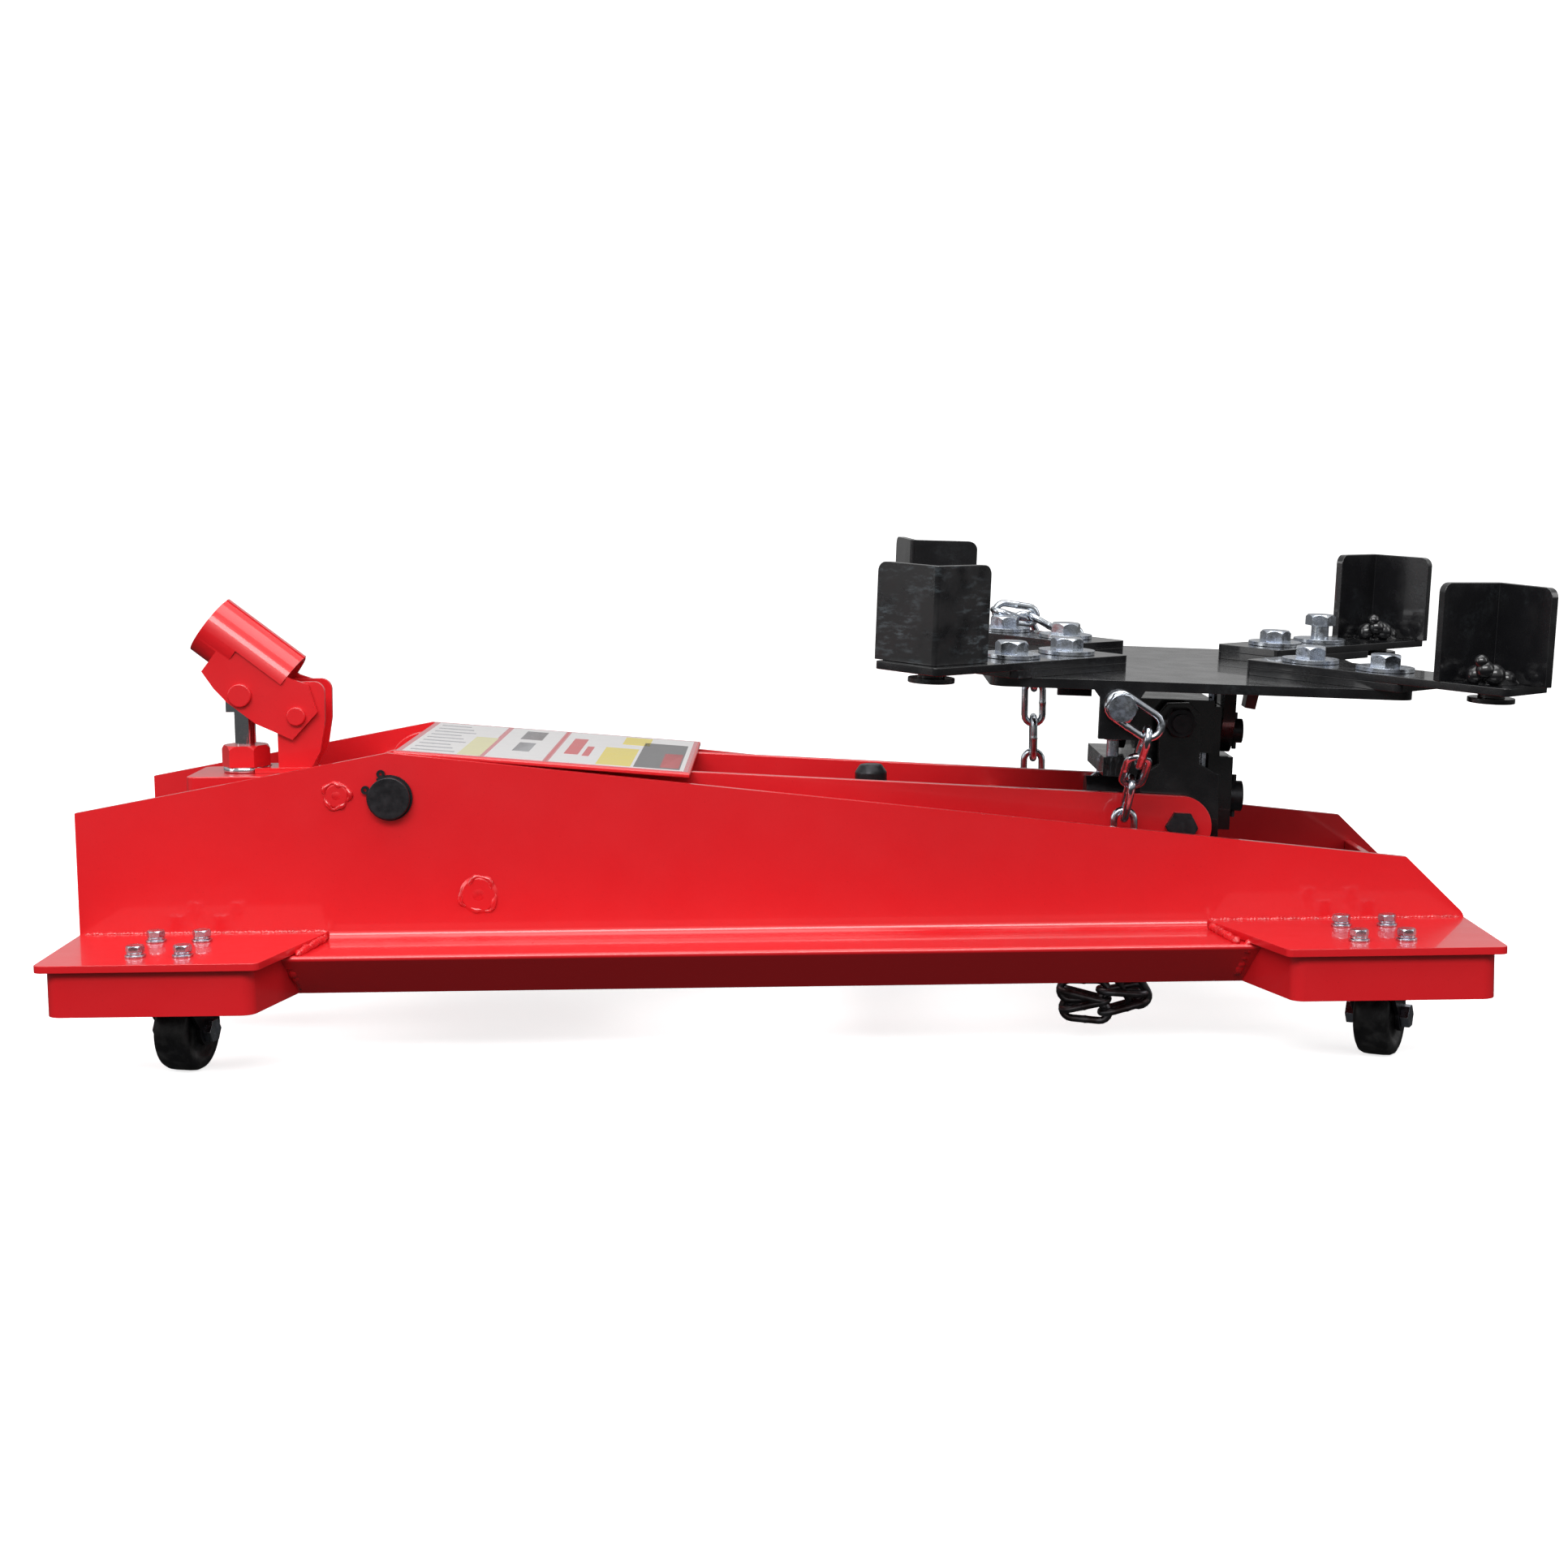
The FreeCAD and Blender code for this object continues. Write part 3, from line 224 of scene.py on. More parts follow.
def make_finishes():
    """Every material on the jack, by plain name."""
    look = bpy.context.scene.jack_finishes
    red, deep, black, dust, zinc, chain_low_colour = (
        tuple(colour) for colour in (look.red, look.deep_red, look.black, look.dust, look.zinc,
                                     look.chain_low_colour))

    paint = Finish("red enamel", 0.3, coat=0.7, coat_roughness=0.06)
    patches = paint.spread(paint.noise(9, 2), 0.15, 0.9, 0.0, 0.22)
    specks = paint.spread(paint.noise(900, 2, rough=0.4), 0.70, 0.76, 0.0, 0.5)
    paint.colour(paint.mix(specks, paint.mix(patches, red, deep), deep))
    paint.roughness(paint.spread(paint.noise(45, 5), 0.1, 0.9, 0.25, 0.38))
    paint.bump(paint.noise(420, 2), 0.00012, 0.35).bump(paint.noise(12, 1), 0.0008, 0.25)

    bead = Finish("red enamel over weld", 0.26, coat=0.8, coat_roughness=0.05)
    bead.colour(bead.mix(bead.spread(bead.noise(160, 4), 0.4, 0.7, 0.0, 0.8), red, deep))
    bead.bump(bead.noise(350, 3), 0.0005, 0.6)

    dull = Finish("dark red tab", 0.4, coat=0.3)
    dull.colour(dull.mix(dull.noise(120, 4), (0.12, 0.012, 0.012), (0.22, 0.02, 0.02)))
    dull.bump(dull.noise(500, 2), 0.0001, 0.4)

    gloss = Finish("black enamel", 0.22, coat=0.6, coat_roughness=0.04)
    film = gloss.product(gloss.spread(gloss.noise(38, 5, rough=0.65), 0.52, 0.78, 0.0, 1.0),
                         gloss.spread(gloss.noise(400, 4, rough=0.7), 0.4, 0.65, 0.0, 0.22))
    gloss.colour(gloss.mix(film, black, dust))
    gloss.roughness(gloss.spread(gloss.noise(60, 5), 0.3, 0.7, 0.14, 0.34))
    gloss.bump(gloss.noise(500, 2), 0.0001, 0.35).bump(gloss.noise(30, 2), 0.0008, 0.25)

    scuffed = Finish("scuffed black enamel", 0.3, coat=0.4, coat_roughness=0.1)
    streak = scuffed.spread(scuffed.noise(90, 6, (1, 1, 3.2), 0.7), 0.5, 0.72, 0.0, 1.0)
    cloud = scuffed.spread(scuffed.noise(26, 4), 0.42, 0.66, 0.0, 0.65)
    scuffed.colour(scuffed.mix(scuffed.product(streak, cloud), black, (0.20, 0.25, 0.28)))
    scuffed.roughness(scuffed.spread(scuffed.noise(70, 5), 0.3, 0.7, 0.2, 0.5))
    scuffed.bump(scuffed.noise(500, 2), 0.0001, 0.4)

    oxide = Finish("black oxide", 0.38, metallic=0.6)
    oxide.colour(oxide.mix(oxide.noise(220, 4), (0.010, 0.010, 0.012), (0.045, 0.045, 0.05)))
    oxide.roughness(oxide.spread(oxide.noise(300, 4), 0.3, 0.7, 0.28, 0.5))
    oxide.bump(oxide.noise(700, 2), 0.00008, 0.5)

    plate = Finish("bright zinc", 0.22, metallic=1.0)
    cast = plate.mix(plate.spread(plate.noise(130, 4), 0.35, 0.7, 0.0, 1.0), zinc,
                     (0.50, 0.55, 0.66))
    plate.colour(plate.mix(plate.spread(plate.noise(600, 3), 0.6, 0.8, 0.0, 0.7), cast,
                           (0.34, 0.35, 0.36)))
    plate.roughness(plate.spread(plate.noise(260, 5), 0.3, 0.7, 0.14, 0.36))
    plate.bump(plate.noise(900, 2), 0.00008, 0.5)

    grubby = Finish("zinc chain, dark towards the floor", 0.24, metallic=1.0)
    worn = grubby.mix(grubby.spread(grubby.noise(170, 4), 0.4, 0.7, 0.0, 1.0), zinc,
                      (0.45, 0.48, 0.55))
    # darker towards the floor: fully below 35 mm, not at all above 75 mm, broken up by noise; the
    # roughness follows the same mask
    low = grubby.spread(grubby.height(0.035, 0.075), 0, 1, 1.0, 0.0)
    floor_darkening = grubby.product(low, grubby.spread(grubby.noise(90, 5), 0.25, 0.6, 0.55, 1.0))
    grubby.colour(grubby.mix(floor_darkening, worn, chain_low_colour))
    grubby.roughness(grubby.spread(floor_darkening, 0, 1, 0.2, 0.42))
    grubby.bump(grubby.noise(800, 3), 0.0001, 0.5)

    steel = Finish("turned steel", 0.3, metallic=1.0)
    steel.colour(steel.mix(steel.noise(300, 3, (1, 12, 12)), (0.36, 0.36, 0.37),
                           (0.50, 0.50, 0.51)))
    steel.bump(steel.noise(1200, 2, (6, 1, 1)), 0.00006, 0.5)

    chrome = Finish("hard chrome", 0.08, metallic=1.0)
    chrome.colour(chrome.mix(chrome.noise(80, 3), (0.70, 0.71, 0.73), (0.56, 0.57, 0.60)))
    chrome.roughness(chrome.spread(chrome.noise(500, 3), 0.3, 0.7, 0.05, 0.16))

    tread = Finish("black nylon tyre", 0.42, specular=0.4)
    tread.colour(tread.mix(tread.spread(tread.noise(150, 5), 0.45, 0.75, 0.0, 1.0),
                           (0.010, 0.010, 0.011), (0.05, 0.05, 0.05)))
    tread.roughness(tread.spread(tread.noise(200, 4), 0.3, 0.7, 0.3, 0.55))
    tread.bump(tread.noise(600, 3), 0.00012, 0.6)

    finishes = {"red_paint": paint, "weld": bead, "red_dark": dull, "black_paint": gloss,
                "scuffed": scuffed, "black_oxide": oxide, "zinc": plate, "chain": grubby,
                "steel": steel, "chrome": chrome, "rubber": tread}
    inks = {"label white": (0.78, 0.76, 0.76), "label pink": (0.62, 0.16, 0.18),
            "label yellow": (0.78, 0.62, 0.04), "label pale yellow": (0.72, 0.68, 0.36),
            "label grey": (0.38, 0.38, 0.40), "label dark": (0.05, 0.045, 0.05),
            "label red": (0.62, 0.02, 0.03)}
    for name, colour in inks.items():
        ink = Finish(name, 0.22, coat=0.5)
        faded = tuple(0.75 * channel + 0.12 for channel in colour)
        ink.colour(ink.mix(ink.spread(ink.noise(120, 4), 0.45, 0.75, 0.0, 0.35), colour, faded))
        ink.bump(ink.noise(60, 3), 0.0003, 0.2)
        finishes[name] = ink
    return {name: finish.material for name, finish in finishes.items()}


# --- shared makers -----------------------------------------------------------------------
def add_piece(name, shape, body, finishes, stands_for=()):
    """Turn a bmesh into a piece that rides on a body."""
    mesh = bpy.data.meshes.new(name)
    shape.to_mesh(mesh)
    shape.free()
    piece = bpy.data.objects.new(name, mesh)
    bpy.context.scene.collection.objects.link(piece)
    for finish in finishes:
        mesh.materials.append(FINISH[finish])
    for face in mesh.polygons:
        face.use_smooth = True
    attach(piece, body)
    if stands_for:
        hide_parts(*stands_for)
    return piece


def merged_copy(node):
    """A CAD piece's shape with its loose triangles joined and its flat faces whole."""
    shape = bmesh.new()
    shape.from_mesh(frame["nodes"][node].data)
    bmesh.ops.remove_doubles(shape, verts=shape.verts, dist=2e-6)
    bmesh.ops.dissolve_limit(shape, angle_limit=math.radians(0.6), verts=shape.verts,
                             edges=shape.edges, delimit=set())
    return shape


def finished(node, finish, edge, segments=2):
    """A copy of a CAD piece with rounded edges, standing for it."""
    piece = add_piece(node + "_finished", merged_copy(node), BODY_OF[node],
                      [finish], [node])
    rounding = piece.modifiers.new("Edges", "BEVEL")
    rounding.width = edge
    rounding.segments = segments
    rounding.limit_method = "ANGLE"
    rounding.angle_limit = math.radians(32)
    rounding.miter_outer = "MITER_ARC"
    # the widest faces set the shading, so that flat plate stays flat up to its rounded edges
    level = piece.modifiers.new("Level faces", "WEIGHTED_NORMAL")
    level.weight = 100
    return piece


def repaint(node, finish):
    """Keep a CAD piece as it is and give it a finish."""
    piece = frame["nodes"][node]
    piece.data.materials.clear()
    piece.data.materials.append(FINISH[finish])


def add_ring(shape, centre, along, radius, sides=10):
    """One open circle across a path; returns its vertices."""
    turn = along.to_track_quat("Z", "Y").to_matrix().to_4x4()
    made = bmesh.ops.create_circle(shape, cap_ends=False, radius=radius, segments=sides,
                                   matrix=Matrix.Translation(centre) @ turn)
    return made["verts"]


def ring_edges(verts):
    """The edges that join some vertices, in the same order on every run."""
    inside = set(verts)
    found = {}
    for vert in verts:
        found.update((edge, True) for edge in vert.link_edges if edge.other_vert(vert) in inside)
    return list(found)


def add_tube(shape, points, radii, sides=10, closed=False):
    """A tube of changing radius through points."""
    rings = []
    count = len(points)
    for i, point in enumerate(points):
        before = points[i - 1] if i or closed else points[i]
        after = points[(i + 1) % count] if i < count - 1 or closed else points[i]
        rings.append(add_ring(shape, point, (after - before).normalized(), radii[i], sides))
    pairs = list(zip(rings, rings[1:]))
    if closed:
        pairs.append((rings[-1], rings[0]))
    for first, second in pairs:
        bmesh.ops.bridge_loops(shape, edges=ring_edges(first) + ring_edges(second))
    if not closed:
        for ring in (rings[0], rings[-1]):
            bmesh.ops.contextual_create(shape, geom=ring_edges(ring))
    bmesh.ops.recalc_face_normals(shape, faces=shape.faces)


def add_bead(shape, start, finish, radius, seed):
    """A rippled weld bead between two points, thin at both ends."""
    start, finish = Vector(start), Vector(finish)
    steps = max(4, int((finish - start).length / (radius * 0.55)))
    points, radii = [], []
    for i in range(steps + 1):
        part = i / steps
        # two waves that don't fall into step, so that the bead never repeats
        wander = 0.16 * math.sin(i * 1.7 + seed) + 0.1 * math.sin(i * 0.43 + 2 * seed)
        ripple = 1 + 0.16 * math.sin(i * 2.2 + seed) + 0.14 * math.sin(i * 0.57 + seed)
        taper = min(1.0, 0.35 + 2.5 * min(part, 1 - part) * steps / 8)
        points.append(start.lerp(finish, part) + Vector((0, 0, radius * wander)))
        radii.append(radius * ripple * taper)
    add_tube(shape, points, radii, sides=8)


def spin_outline(shape, points, centre, axis, steps):
    """A closed outline turned once about an axis."""
    verts = [shape.verts.new(point) for point in points]
    edges = [shape.edges.new((verts[i - 1], verts[i])) for i in range(len(verts))]
    bmesh.ops.spin(shape, geom=verts + edges, cent=centre, axis=axis, angle=2 * math.pi,
                   steps=steps, use_merge=True)
    bmesh.ops.recalc_face_normals(shape, faces=shape.faces)


# --- chassis -----------------------------------------------------------------------------
class JACK_OT_chassis(bpy.types.Operator):
    """Paint the rails, decks and cross members and round their edges"""
    bl_idname = "jack.chassis"
    bl_label = "Chassis"

    def execute(self, context):
        sizes = context.scene.jack_sizes
        for node in ("rail_near", "rail_far", "deck_rear_near", "deck_rear_far", "deck_front_near",
                     "deck_front_far", "front_cross_plate"):
            finished(node, "red_paint", sizes.plate_edge)
        repaint("tie_bars", "red_paint")
        finished("rest_channel", "black_oxide", sizes.plate_edge)
        finished("pivot_shaft", "black_oxide", sizes.plate_edge)
        repaint("shaft_snap_rings", "black_oxide")
        return {"FINISHED"}


class JACK_OT_welds(bpy.types.Operator):
    """Run weld beads along the joints of the decks, skirts and rails"""
    bl_idname = "jack.welds"
    bl_label = "Welds"

    def execute(self, context):
        bead = context.scene.jack_sizes.bead
        lip_in = 46 * MM      # from a deck's outer edge in to the rail's lip
        for side, way in SIDES:
            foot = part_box("rail_" + side)[0][2]
            web = way * RAIL_FACE
            shape = bmesh.new()
            for end, sign in (("rear", -1), ("front", 1)):
                low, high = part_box(f"deck_{end}_{side}")
                top = high[2]
                tip, root = (low[0], high[0]) if sign < 0 else (high[0], low[0])
                # along the web, from near the deck's outer end to its inner one
                add_bead(shape, (tip - sign * 3 * MM, web, top), (root, web, top), bead * 0.55,
                         seed=way + 3)
                # out under the deck's slanting edge, over the rail's flange
                flange = way * (abs(low[1] if way < 0 else high[1]) - lip_in)
                add_bead(shape, (root + sign * 1 * MM, web + way * 3 * MM, top - 3 * MM),
                         (root + sign * 9 * MM, flange, top - 4 * MM), bead, seed=sign + 5)
                # and down the rail's lip
                add_bead(shape, (root + sign * 16 * MM, flange, top - 4 * MM),
                         (root + sign * 11 * MM, flange * 0.86, foot + 3 * MM), bead * 1.4,
                         seed=2 * sign + way)
            add_piece("deck_welds_" + side, shape, "chassis", ["weld"])
        return {"FINISHED"}


class JACK_OT_weld_plugs(bpy.types.Operator):
    """Melt a ragged ring of weld over the ends of the two tie bars in each rail"""
    bl_idname = "jack.weld_plugs"
    bl_label = "Weld plugs"

    def execute(self, context):
        low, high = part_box("tie_bars")
        # the thin bar is the rearmost and highest, the thick one the foremost and lowest
        upper_rad, lower_rad = 5.5 * MM, 9 * MM
        upper = Vector((low[0] + upper_rad, 0, high[2] - upper_rad))
        lower = Vector((high[0] - lower_rad, 0, low[2] + lower_rad))
        for side, way in SIDES:
            shape = bmesh.new()
            for centre, radius, seed in ((upper, 7.6 * MM, 1), (lower, 10.5 * MM, 4)):
                self.plug(shape, centre + Vector((0, way * RAIL_FACE, 0)), way, radius, seed)
            add_piece("weld_plugs_" + side, shape, "chassis", ["weld"])
        return {"FINISHED"}

    def plug(self, shape, centre, way, radius, seed, steps=40):
        """A ragged ring of weld round a flat blob, on a rail's outer face."""
        points, radii = [], []
        for i in range(steps):
            turn = 2 * math.pi * i / steps
            ragged = 1 + 0.12 * math.sin(3 * turn + seed) + 0.06 * math.sin(7 * turn + 2 * seed)
            out = Vector((ragged * radius * math.cos(turn), way * 0.3 * MM,
                          ragged * radius * math.sin(turn)))
            points.append(centre + out)
            radii.append((1.4 + 0.5 * math.sin(5 * turn + seed)) * MM)
        add_tube(shape, points, radii, sides=8, closed=True)
        blob = bmesh.ops.create_uvsphere(shape, u_segments=16, v_segments=8, radius=1.0)
        bmesh.ops.scale(shape, vec=(radius * 0.8, 1.5 * MM, radius * 0.75), verts=blob["verts"])
        bmesh.ops.translate(shape, vec=centre + Vector((0, way * 0.2 * MM, 0)),
                            verts=blob["verts"])


# --- casters -----------------------------------------------------------------------------
class JACK_OT_casters(bpy.types.Operator):
    """Finish the casters: wheels with rounded shoulders and stepped hubs, pressed forks, plates and
    bolts
    """
    bl_idname = "jack.casters"
    bl_label = "Casters"

    def execute(self, context):
        sizes = context.scene.jack_sizes
        for corner in CORNERS:
            fork = finished("caster_fork_" + corner, "black_oxide", sizes.bolt_edge)
            self.plate_nuts(fork, JOINTS["caster_roll_" + corner])
            self.wheel(corner)
        repaint("caster_plates", "zinc")
        finished("caster_fasteners", "zinc", sizes.bolt_edge)
        return {"FINISHED"}

    def plate_nuts(self, fork, roll):
        """Zinc on the axle's head and nut, outside the fork's legs."""
        leg_face, nut_rad = 14.6 * MM, 7.8 * MM
        fork.data.materials.append(FINISH["zinc"])
        centre, axis = Vector(roll["pos_m"]), Vector(roll["axis"])
        for face in fork.data.polygons:
            reach = face.center - centre
            along = reach.dot(axis)
            if abs(along) > leg_face and (reach - axis * along).length < nut_rad:
                face.material_index = 1

    def wheel(self, corner):
        """A tyre with rounded shoulders and a stepped hub, turned about its axle."""
        joint = JOINTS["caster_roll_" + corner]
        centre, axis = Vector(joint["pos_m"]), Vector(joint["axis"])
        # radius and half width in mm, from the bore out to the middle of the tread
        rim = ((4.06, 10.9), (8.5, 10.9), (9.5, 9.2), (15.0, 8.6), (16.5, 10.2), (21.5, 10.9),
               (23.6, 9.8), (24.7, 7.6), (25.0, 4.0), (25.0, 0.0))
        outline = list(rim) + [(radius, -half) for radius, half in reversed(rim[:-1])]
        spoke = axis.orthogonal().normalized()
        points = [centre + (spoke * radius + axis * half) * MM for radius, half in outline]
        shape = bmesh.new()
        spin_outline(shape, points, centre, axis, steps=64)
        add_piece("wheel_" + corner, shape, "caster_wheel_" + corner, ["rubber"],
                  ["caster_wheel_" + corner])


# --- arm, links and hydraulic unit ---------------------------------------------------------
class JACK_OT_arm(bpy.types.Operator):
    """Paint the lift arm, its cover and the links"""
    bl_idname = "jack.arm"
    bl_label = "Lift arm"

    def execute(self, context):
        sizes = context.scene.jack_sizes
        for node in ("arm_plate_near", "arm_plate_far", "arm_hub", "arm_cover"):
            finished(node, "red_paint", sizes.plate_edge)
        for node in ("arm_spreader", "level_links", "pull_links"):
            repaint(node, "red_paint")
        finished("front_pivot_bolts", "black_oxide", sizes.bolt_edge)
        return {"FINISHED"}


class JACK_OT_label(bpy.types.Operator):
    """Lay a plain printed label of colour blocks on the arm's cover"""
    bl_idname = "jack.label"
    bl_label = "Label"
    COVER_LENGTH = 184 * MM
    COVER_FALL = 5 * MM      # its fall towards the front, besides the arm's own tilt

    def execute(self, context):
        low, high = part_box("arm_cover")
        thick = context.scene.jack_sizes.label_thick
        margin, side_margin = 1 * MM, 3 * MM
        length = self.COVER_LENGTH - 0.5 * MM - 2 * margin
        half = (high[1] - low[1]) / 2 - side_margin
        shape = bmesh.new()
        names = []
        for order, (name, left, right, near, far) in enumerate(self.blocks()):
            if name not in names:
                names.append(name)
            cube = bmesh.ops.create_cube(shape, size=1.0)
            # each layer of print lies a little higher, so that no two faces coincide
            layer = min(order, 3) + (1 if order > 7 else 0)
            size = ((right - left) * length, (far - near) * half, thick)
            middle = ((left + right) / 2 * length + margin, (near + far) / 2 * half,
                      thick * (0.5 + 0.12 * layer))
            bmesh.ops.scale(shape, vec=size, verts=cube["verts"])
            bmesh.ops.translate(shape, vec=middle, verts=cube["verts"])
            for vert in cube["verts"]:
                for face in vert.link_faces:
                    face.material_index = names.index(name)
        start = Vector((low[0] + 0.2 * MM, 0, high[2] - 0.05 * MM))
        place = Matrix.Translation(start) @ Matrix.Rotation(self.slope(), 4, "Y")
        bmesh.ops.transform(shape, matrix=place, verts=shape.verts)
        label = add_piece("cover_label", shape, "lift_arm", names)
        for face in label.data.polygons:
            face.use_smooth = False
        return {"FINISHED"}

    def slope(self):
        """The cover's tilt, nose down: the arm's own and a little more."""
        pivot = Vector(JOINTS["arm_lift"]["pos_m"])
        front = Vector(JOINTS["head_level"]["pos_m"])
        arm_tilt = math.atan2(pivot.z - front.z, front.x - pivot.x)
        return arm_tilt + math.atan2(self.COVER_FALL, self.COVER_LENGTH)

    def blocks(self):
        """Ink, ends along the cover (0 to 1) and ends across it (-1 to 1) of each block."""
        blocks = [("label pink", 0.0, 1.0, -1.0, 1.0),
                  ("label white", 0.02, 0.28, -0.96, 0.96),
                  ("label pale yellow", 0.205, 0.285, -0.95, 0.2),
                  ("label white", 0.30, 0.50, -0.96, 0.96),
                  ("label grey", 0.36, 0.44, 0.25, 0.8),
                  ("label grey", 0.37, 0.43, -0.5, 0.05),
                  ("label red", 0.505, 0.512, -0.96, 0.96),
                  ("label white", 0.52, 0.985, -0.96, 0.96),
                  ("label red", 0.55, 0.60, -0.45, 0.55),
                  ("label red", 0.615, 0.64, -0.5, 0.1),
                  ("label yellow", 0.68, 0.80, -0.92, 0.15),
                  ("label yellow", 0.73, 0.83, 0.4, 0.9),
                  ("label dark", 0.81, 0.97, -0.92, 0.6),
                  ("label red", 0.90, 0.965, -0.85, 0.0)]
        for row in range(9):
            near = -0.86 + 0.2 * row
            blocks.append(("label grey", 0.04, 0.19 - 0.02 * (row % 3), near, near + 0.06))
        return blocks


class JACK_OT_hydraulics(bpy.types.Operator):
    """Finish the pump, ram, cylinder and release valve"""
    bl_idname = "jack.hydraulics"
    bl_label = "Hydraulic unit"

    def execute(self, context):
        sizes = context.scene.jack_sizes
        for node in ("pump_block", "gland_nut", "cylinder_tube"):
            finished(node, "red_paint", sizes.plate_edge)
        repaint("ram", "steel")
        repaint("release_valve", "steel")
        finished("pump_plunger", "chrome", sizes.bolt_edge)
        self.gland_band()
        return {"FINISHED"}

    def gland_band(self):
        """A bright band round the foot of the gland nut."""
        low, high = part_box("gland_nut")
        foot = Vector(((low[0] + high[0]) / 2, (low[1] + high[1]) / 2, low[2]))
        # radius and height above the nut's foot, in mm
        outline = ((13.95, 2.0), (14.7, 2.4), (14.9, 3.2), (14.7, 5.4), (14.2, 5.75), (13.95, 5.75))
        points = [foot + Vector((radius, 0, rise)) * MM for radius, rise in outline]
        shape = bmesh.new()
        spin_outline(shape, points, foot, (0, 0, 1), steps=48)
        add_piece("gland_band", shape, "chassis", ["chrome"])


class JACK_OT_handle_socket(bpy.types.Operator):
    """Finish the handle socket, its bracket and pins"""
    bl_idname = "jack.handle_socket"
    bl_label = "Handle socket"

    def execute(self, context):
        for node in ("handle_socket", "socket_pins", "socket_bracket"):
            finished(node, "red_paint", context.scene.jack_sizes.plate_edge)
        return {"FINISHED"}


# --- head and saddle -----------------------------------------------------------------------
class JACK_OT_head(bpy.types.Operator):
    """Finish the level head and the tilting cradle"""
    bl_idname = "jack.head"
    bl_label = "Head and cradle"

    def execute(self, context):
        sizes = context.scene.jack_sizes
        for node in ("head_frame", "cradle"):
            finished(node, "black_paint", sizes.plate_edge)
        for node in ("pitch_bolts", "lower_shaft", "roll_pin"):
            finished(node, "black_oxide", sizes.bolt_edge)
        finished("cradle_screws", "zinc", sizes.bolt_edge)
        return {"FINISHED"}


class JACK_OT_saddle(bpy.types.Operator):
    """Finish the saddle plate, its arms and bolts"""
    bl_idname = "jack.saddle"
    bl_label = "Saddle"

    def execute(self, context):
        sizes = context.scene.jack_sizes
        for node in ("saddle_plate", "saddle_guides"):
            finished(node, "black_paint", sizes.plate_edge)
        for corner in CORNERS:
            finished("saddle_arm_" + corner, "black_paint", sizes.plate_edge)
        finished("saddle_bolts", "zinc", sizes.bolt_edge)
        finished("chain_bolts", "zinc", sizes.bolt_edge)
        finished("saddle_stop", "red_dark", sizes.bolt_edge)
        return {"FINISHED"}


class JACK_OT_brackets(bpy.types.Operator):
    """Finish the four swivelling corner brackets"""
    bl_idname = "jack.brackets"
    bl_label = "Corner brackets"

    def execute(self, context):
        sizes = context.scene.jack_sizes
        for corner in CORNERS:
            finish = "scuffed" if corner == "rear_near" else "black_paint"
            finished("bracket_" + corner, finish, 1.4 * sizes.plate_edge, segments=3)
        return {"FINISHED"}


class JACK_OT_bracket_welds(bpy.types.Operator):
    """Heap a lumpy weld in the foot of each corner bracket"""
    bl_idname = "jack.bracket_welds"
    bl_label = "Bracket welds"

    def execute(self, context):
        # each lump's place from the swivel (along the crease, across, up) and radius, in mm
        lumps = ((6, 0, 4, 8.0), (12, 5, 6, 6.6), (12, -6, 5, 6.2), (17, 1, 9, 5.6),
                 (19, -1, 14, 4.2), (2, 9, 3, 5.5), (3, -9, 2.5, 5.2))
        for corner in CORNERS:
            node = "bracket_" + corner
            joint = JOINTS["bracket_swivel_" + corner]
            foot, up = Vector(joint["pos_m"]), Vector(joint["axis"])
            points = np.array([vert.co for vert in frame["nodes"][node].data.vertices])
            # the upright legs lie to the crease's side of the swivel
            upper = points[points[:, 2] > points[:, 2].mean()]
            crease = Vector(upper.mean(axis=0)) - foot
            crease = (crease - up * crease.dot(up)).normalized()
            across = up.cross(crease)
            shape = bmesh.new()
            for along, side, rise, radius in lumps:
                ball = bmesh.ops.create_icosphere(shape, subdivisions=3, radius=radius * MM)
                centre = foot + (crease * along + across * side + up * rise) * MM
                bmesh.ops.translate(shape, vec=centre, verts=ball["verts"])
            add_piece("bracket_weld_" + corner, shape, node, ["black_paint"])
        return {"FINISHED"}


# --- chains --------------------------------------------------------------------------------
def islands(node):
    """The loose pieces of a CAD mesh, each as an array of points, in a steady order."""
    shape = merged_copy(node)
    left = dict.fromkeys(shape.verts)
    found = []
    while left:
        reach = [left.popitem()[0]]
        piece = []
        while reach:
            vert = reach.pop()
            piece.append(vert.co.copy())
            for edge in vert.link_edges:
                other = edge.other_vert(vert)
                if other in left:
                    del left[other]
                    reach.append(other)
        found.append(np.array(piece))
    shape.free()
    return found


def link_frame(points):
    """A link's place, with X along it and Z through it, and its outer sizes."""
    mean = points.mean(axis=0)
    axes = np.linalg.svd(points - mean, full_matrices=False)[2]
    reach = (points - mean) @ axes.T
    middle = mean + axes.T @ ((reach.max(axis=0) + reach.min(axis=0)) / 2)
    long, wide, thick = reach.max(axis=0) - reach.min(axis=0)
    along, side = Vector(axes[0]), Vector(axes[1])
    turn = Matrix((along, side, along.cross(side))).transposed().to_4x4()
    return Matrix.Translation(Vector(middle)) @ turn, long, wide, thick


def add_link(shape, place, long, wide, wire):
    """A bent and welded link: two round ends, straight sides and the weld's small swelling."""
    bend = (wide - wire) / 2
    half = (long - wide) / 2
    steps = 9
    points, radii = [], []
    for sign in (1, -1):
        for i in range(steps + 1):
            turn = sign * math.pi / 2 - math.pi * i / steps
            points.append(Vector((sign * half + bend * math.cos(turn), bend * math.sin(turn), 0)))
            radii.append(wire / 2)
        if sign > 0:
            # down one straight side, with the weld at its middle
            for part, swell in ((0.35, 1.0), (0.44, 1.03), (0.5, 1.12), (0.56, 1.03), (0.65, 1.0)):
                points.append(Vector((half * (1 - 2 * part), -bend, 0)))
                radii.append(swell * wire / 2)
    points = [place @ point for point in points]
    add_tube(shape, points, radii, sides=12, closed=True)


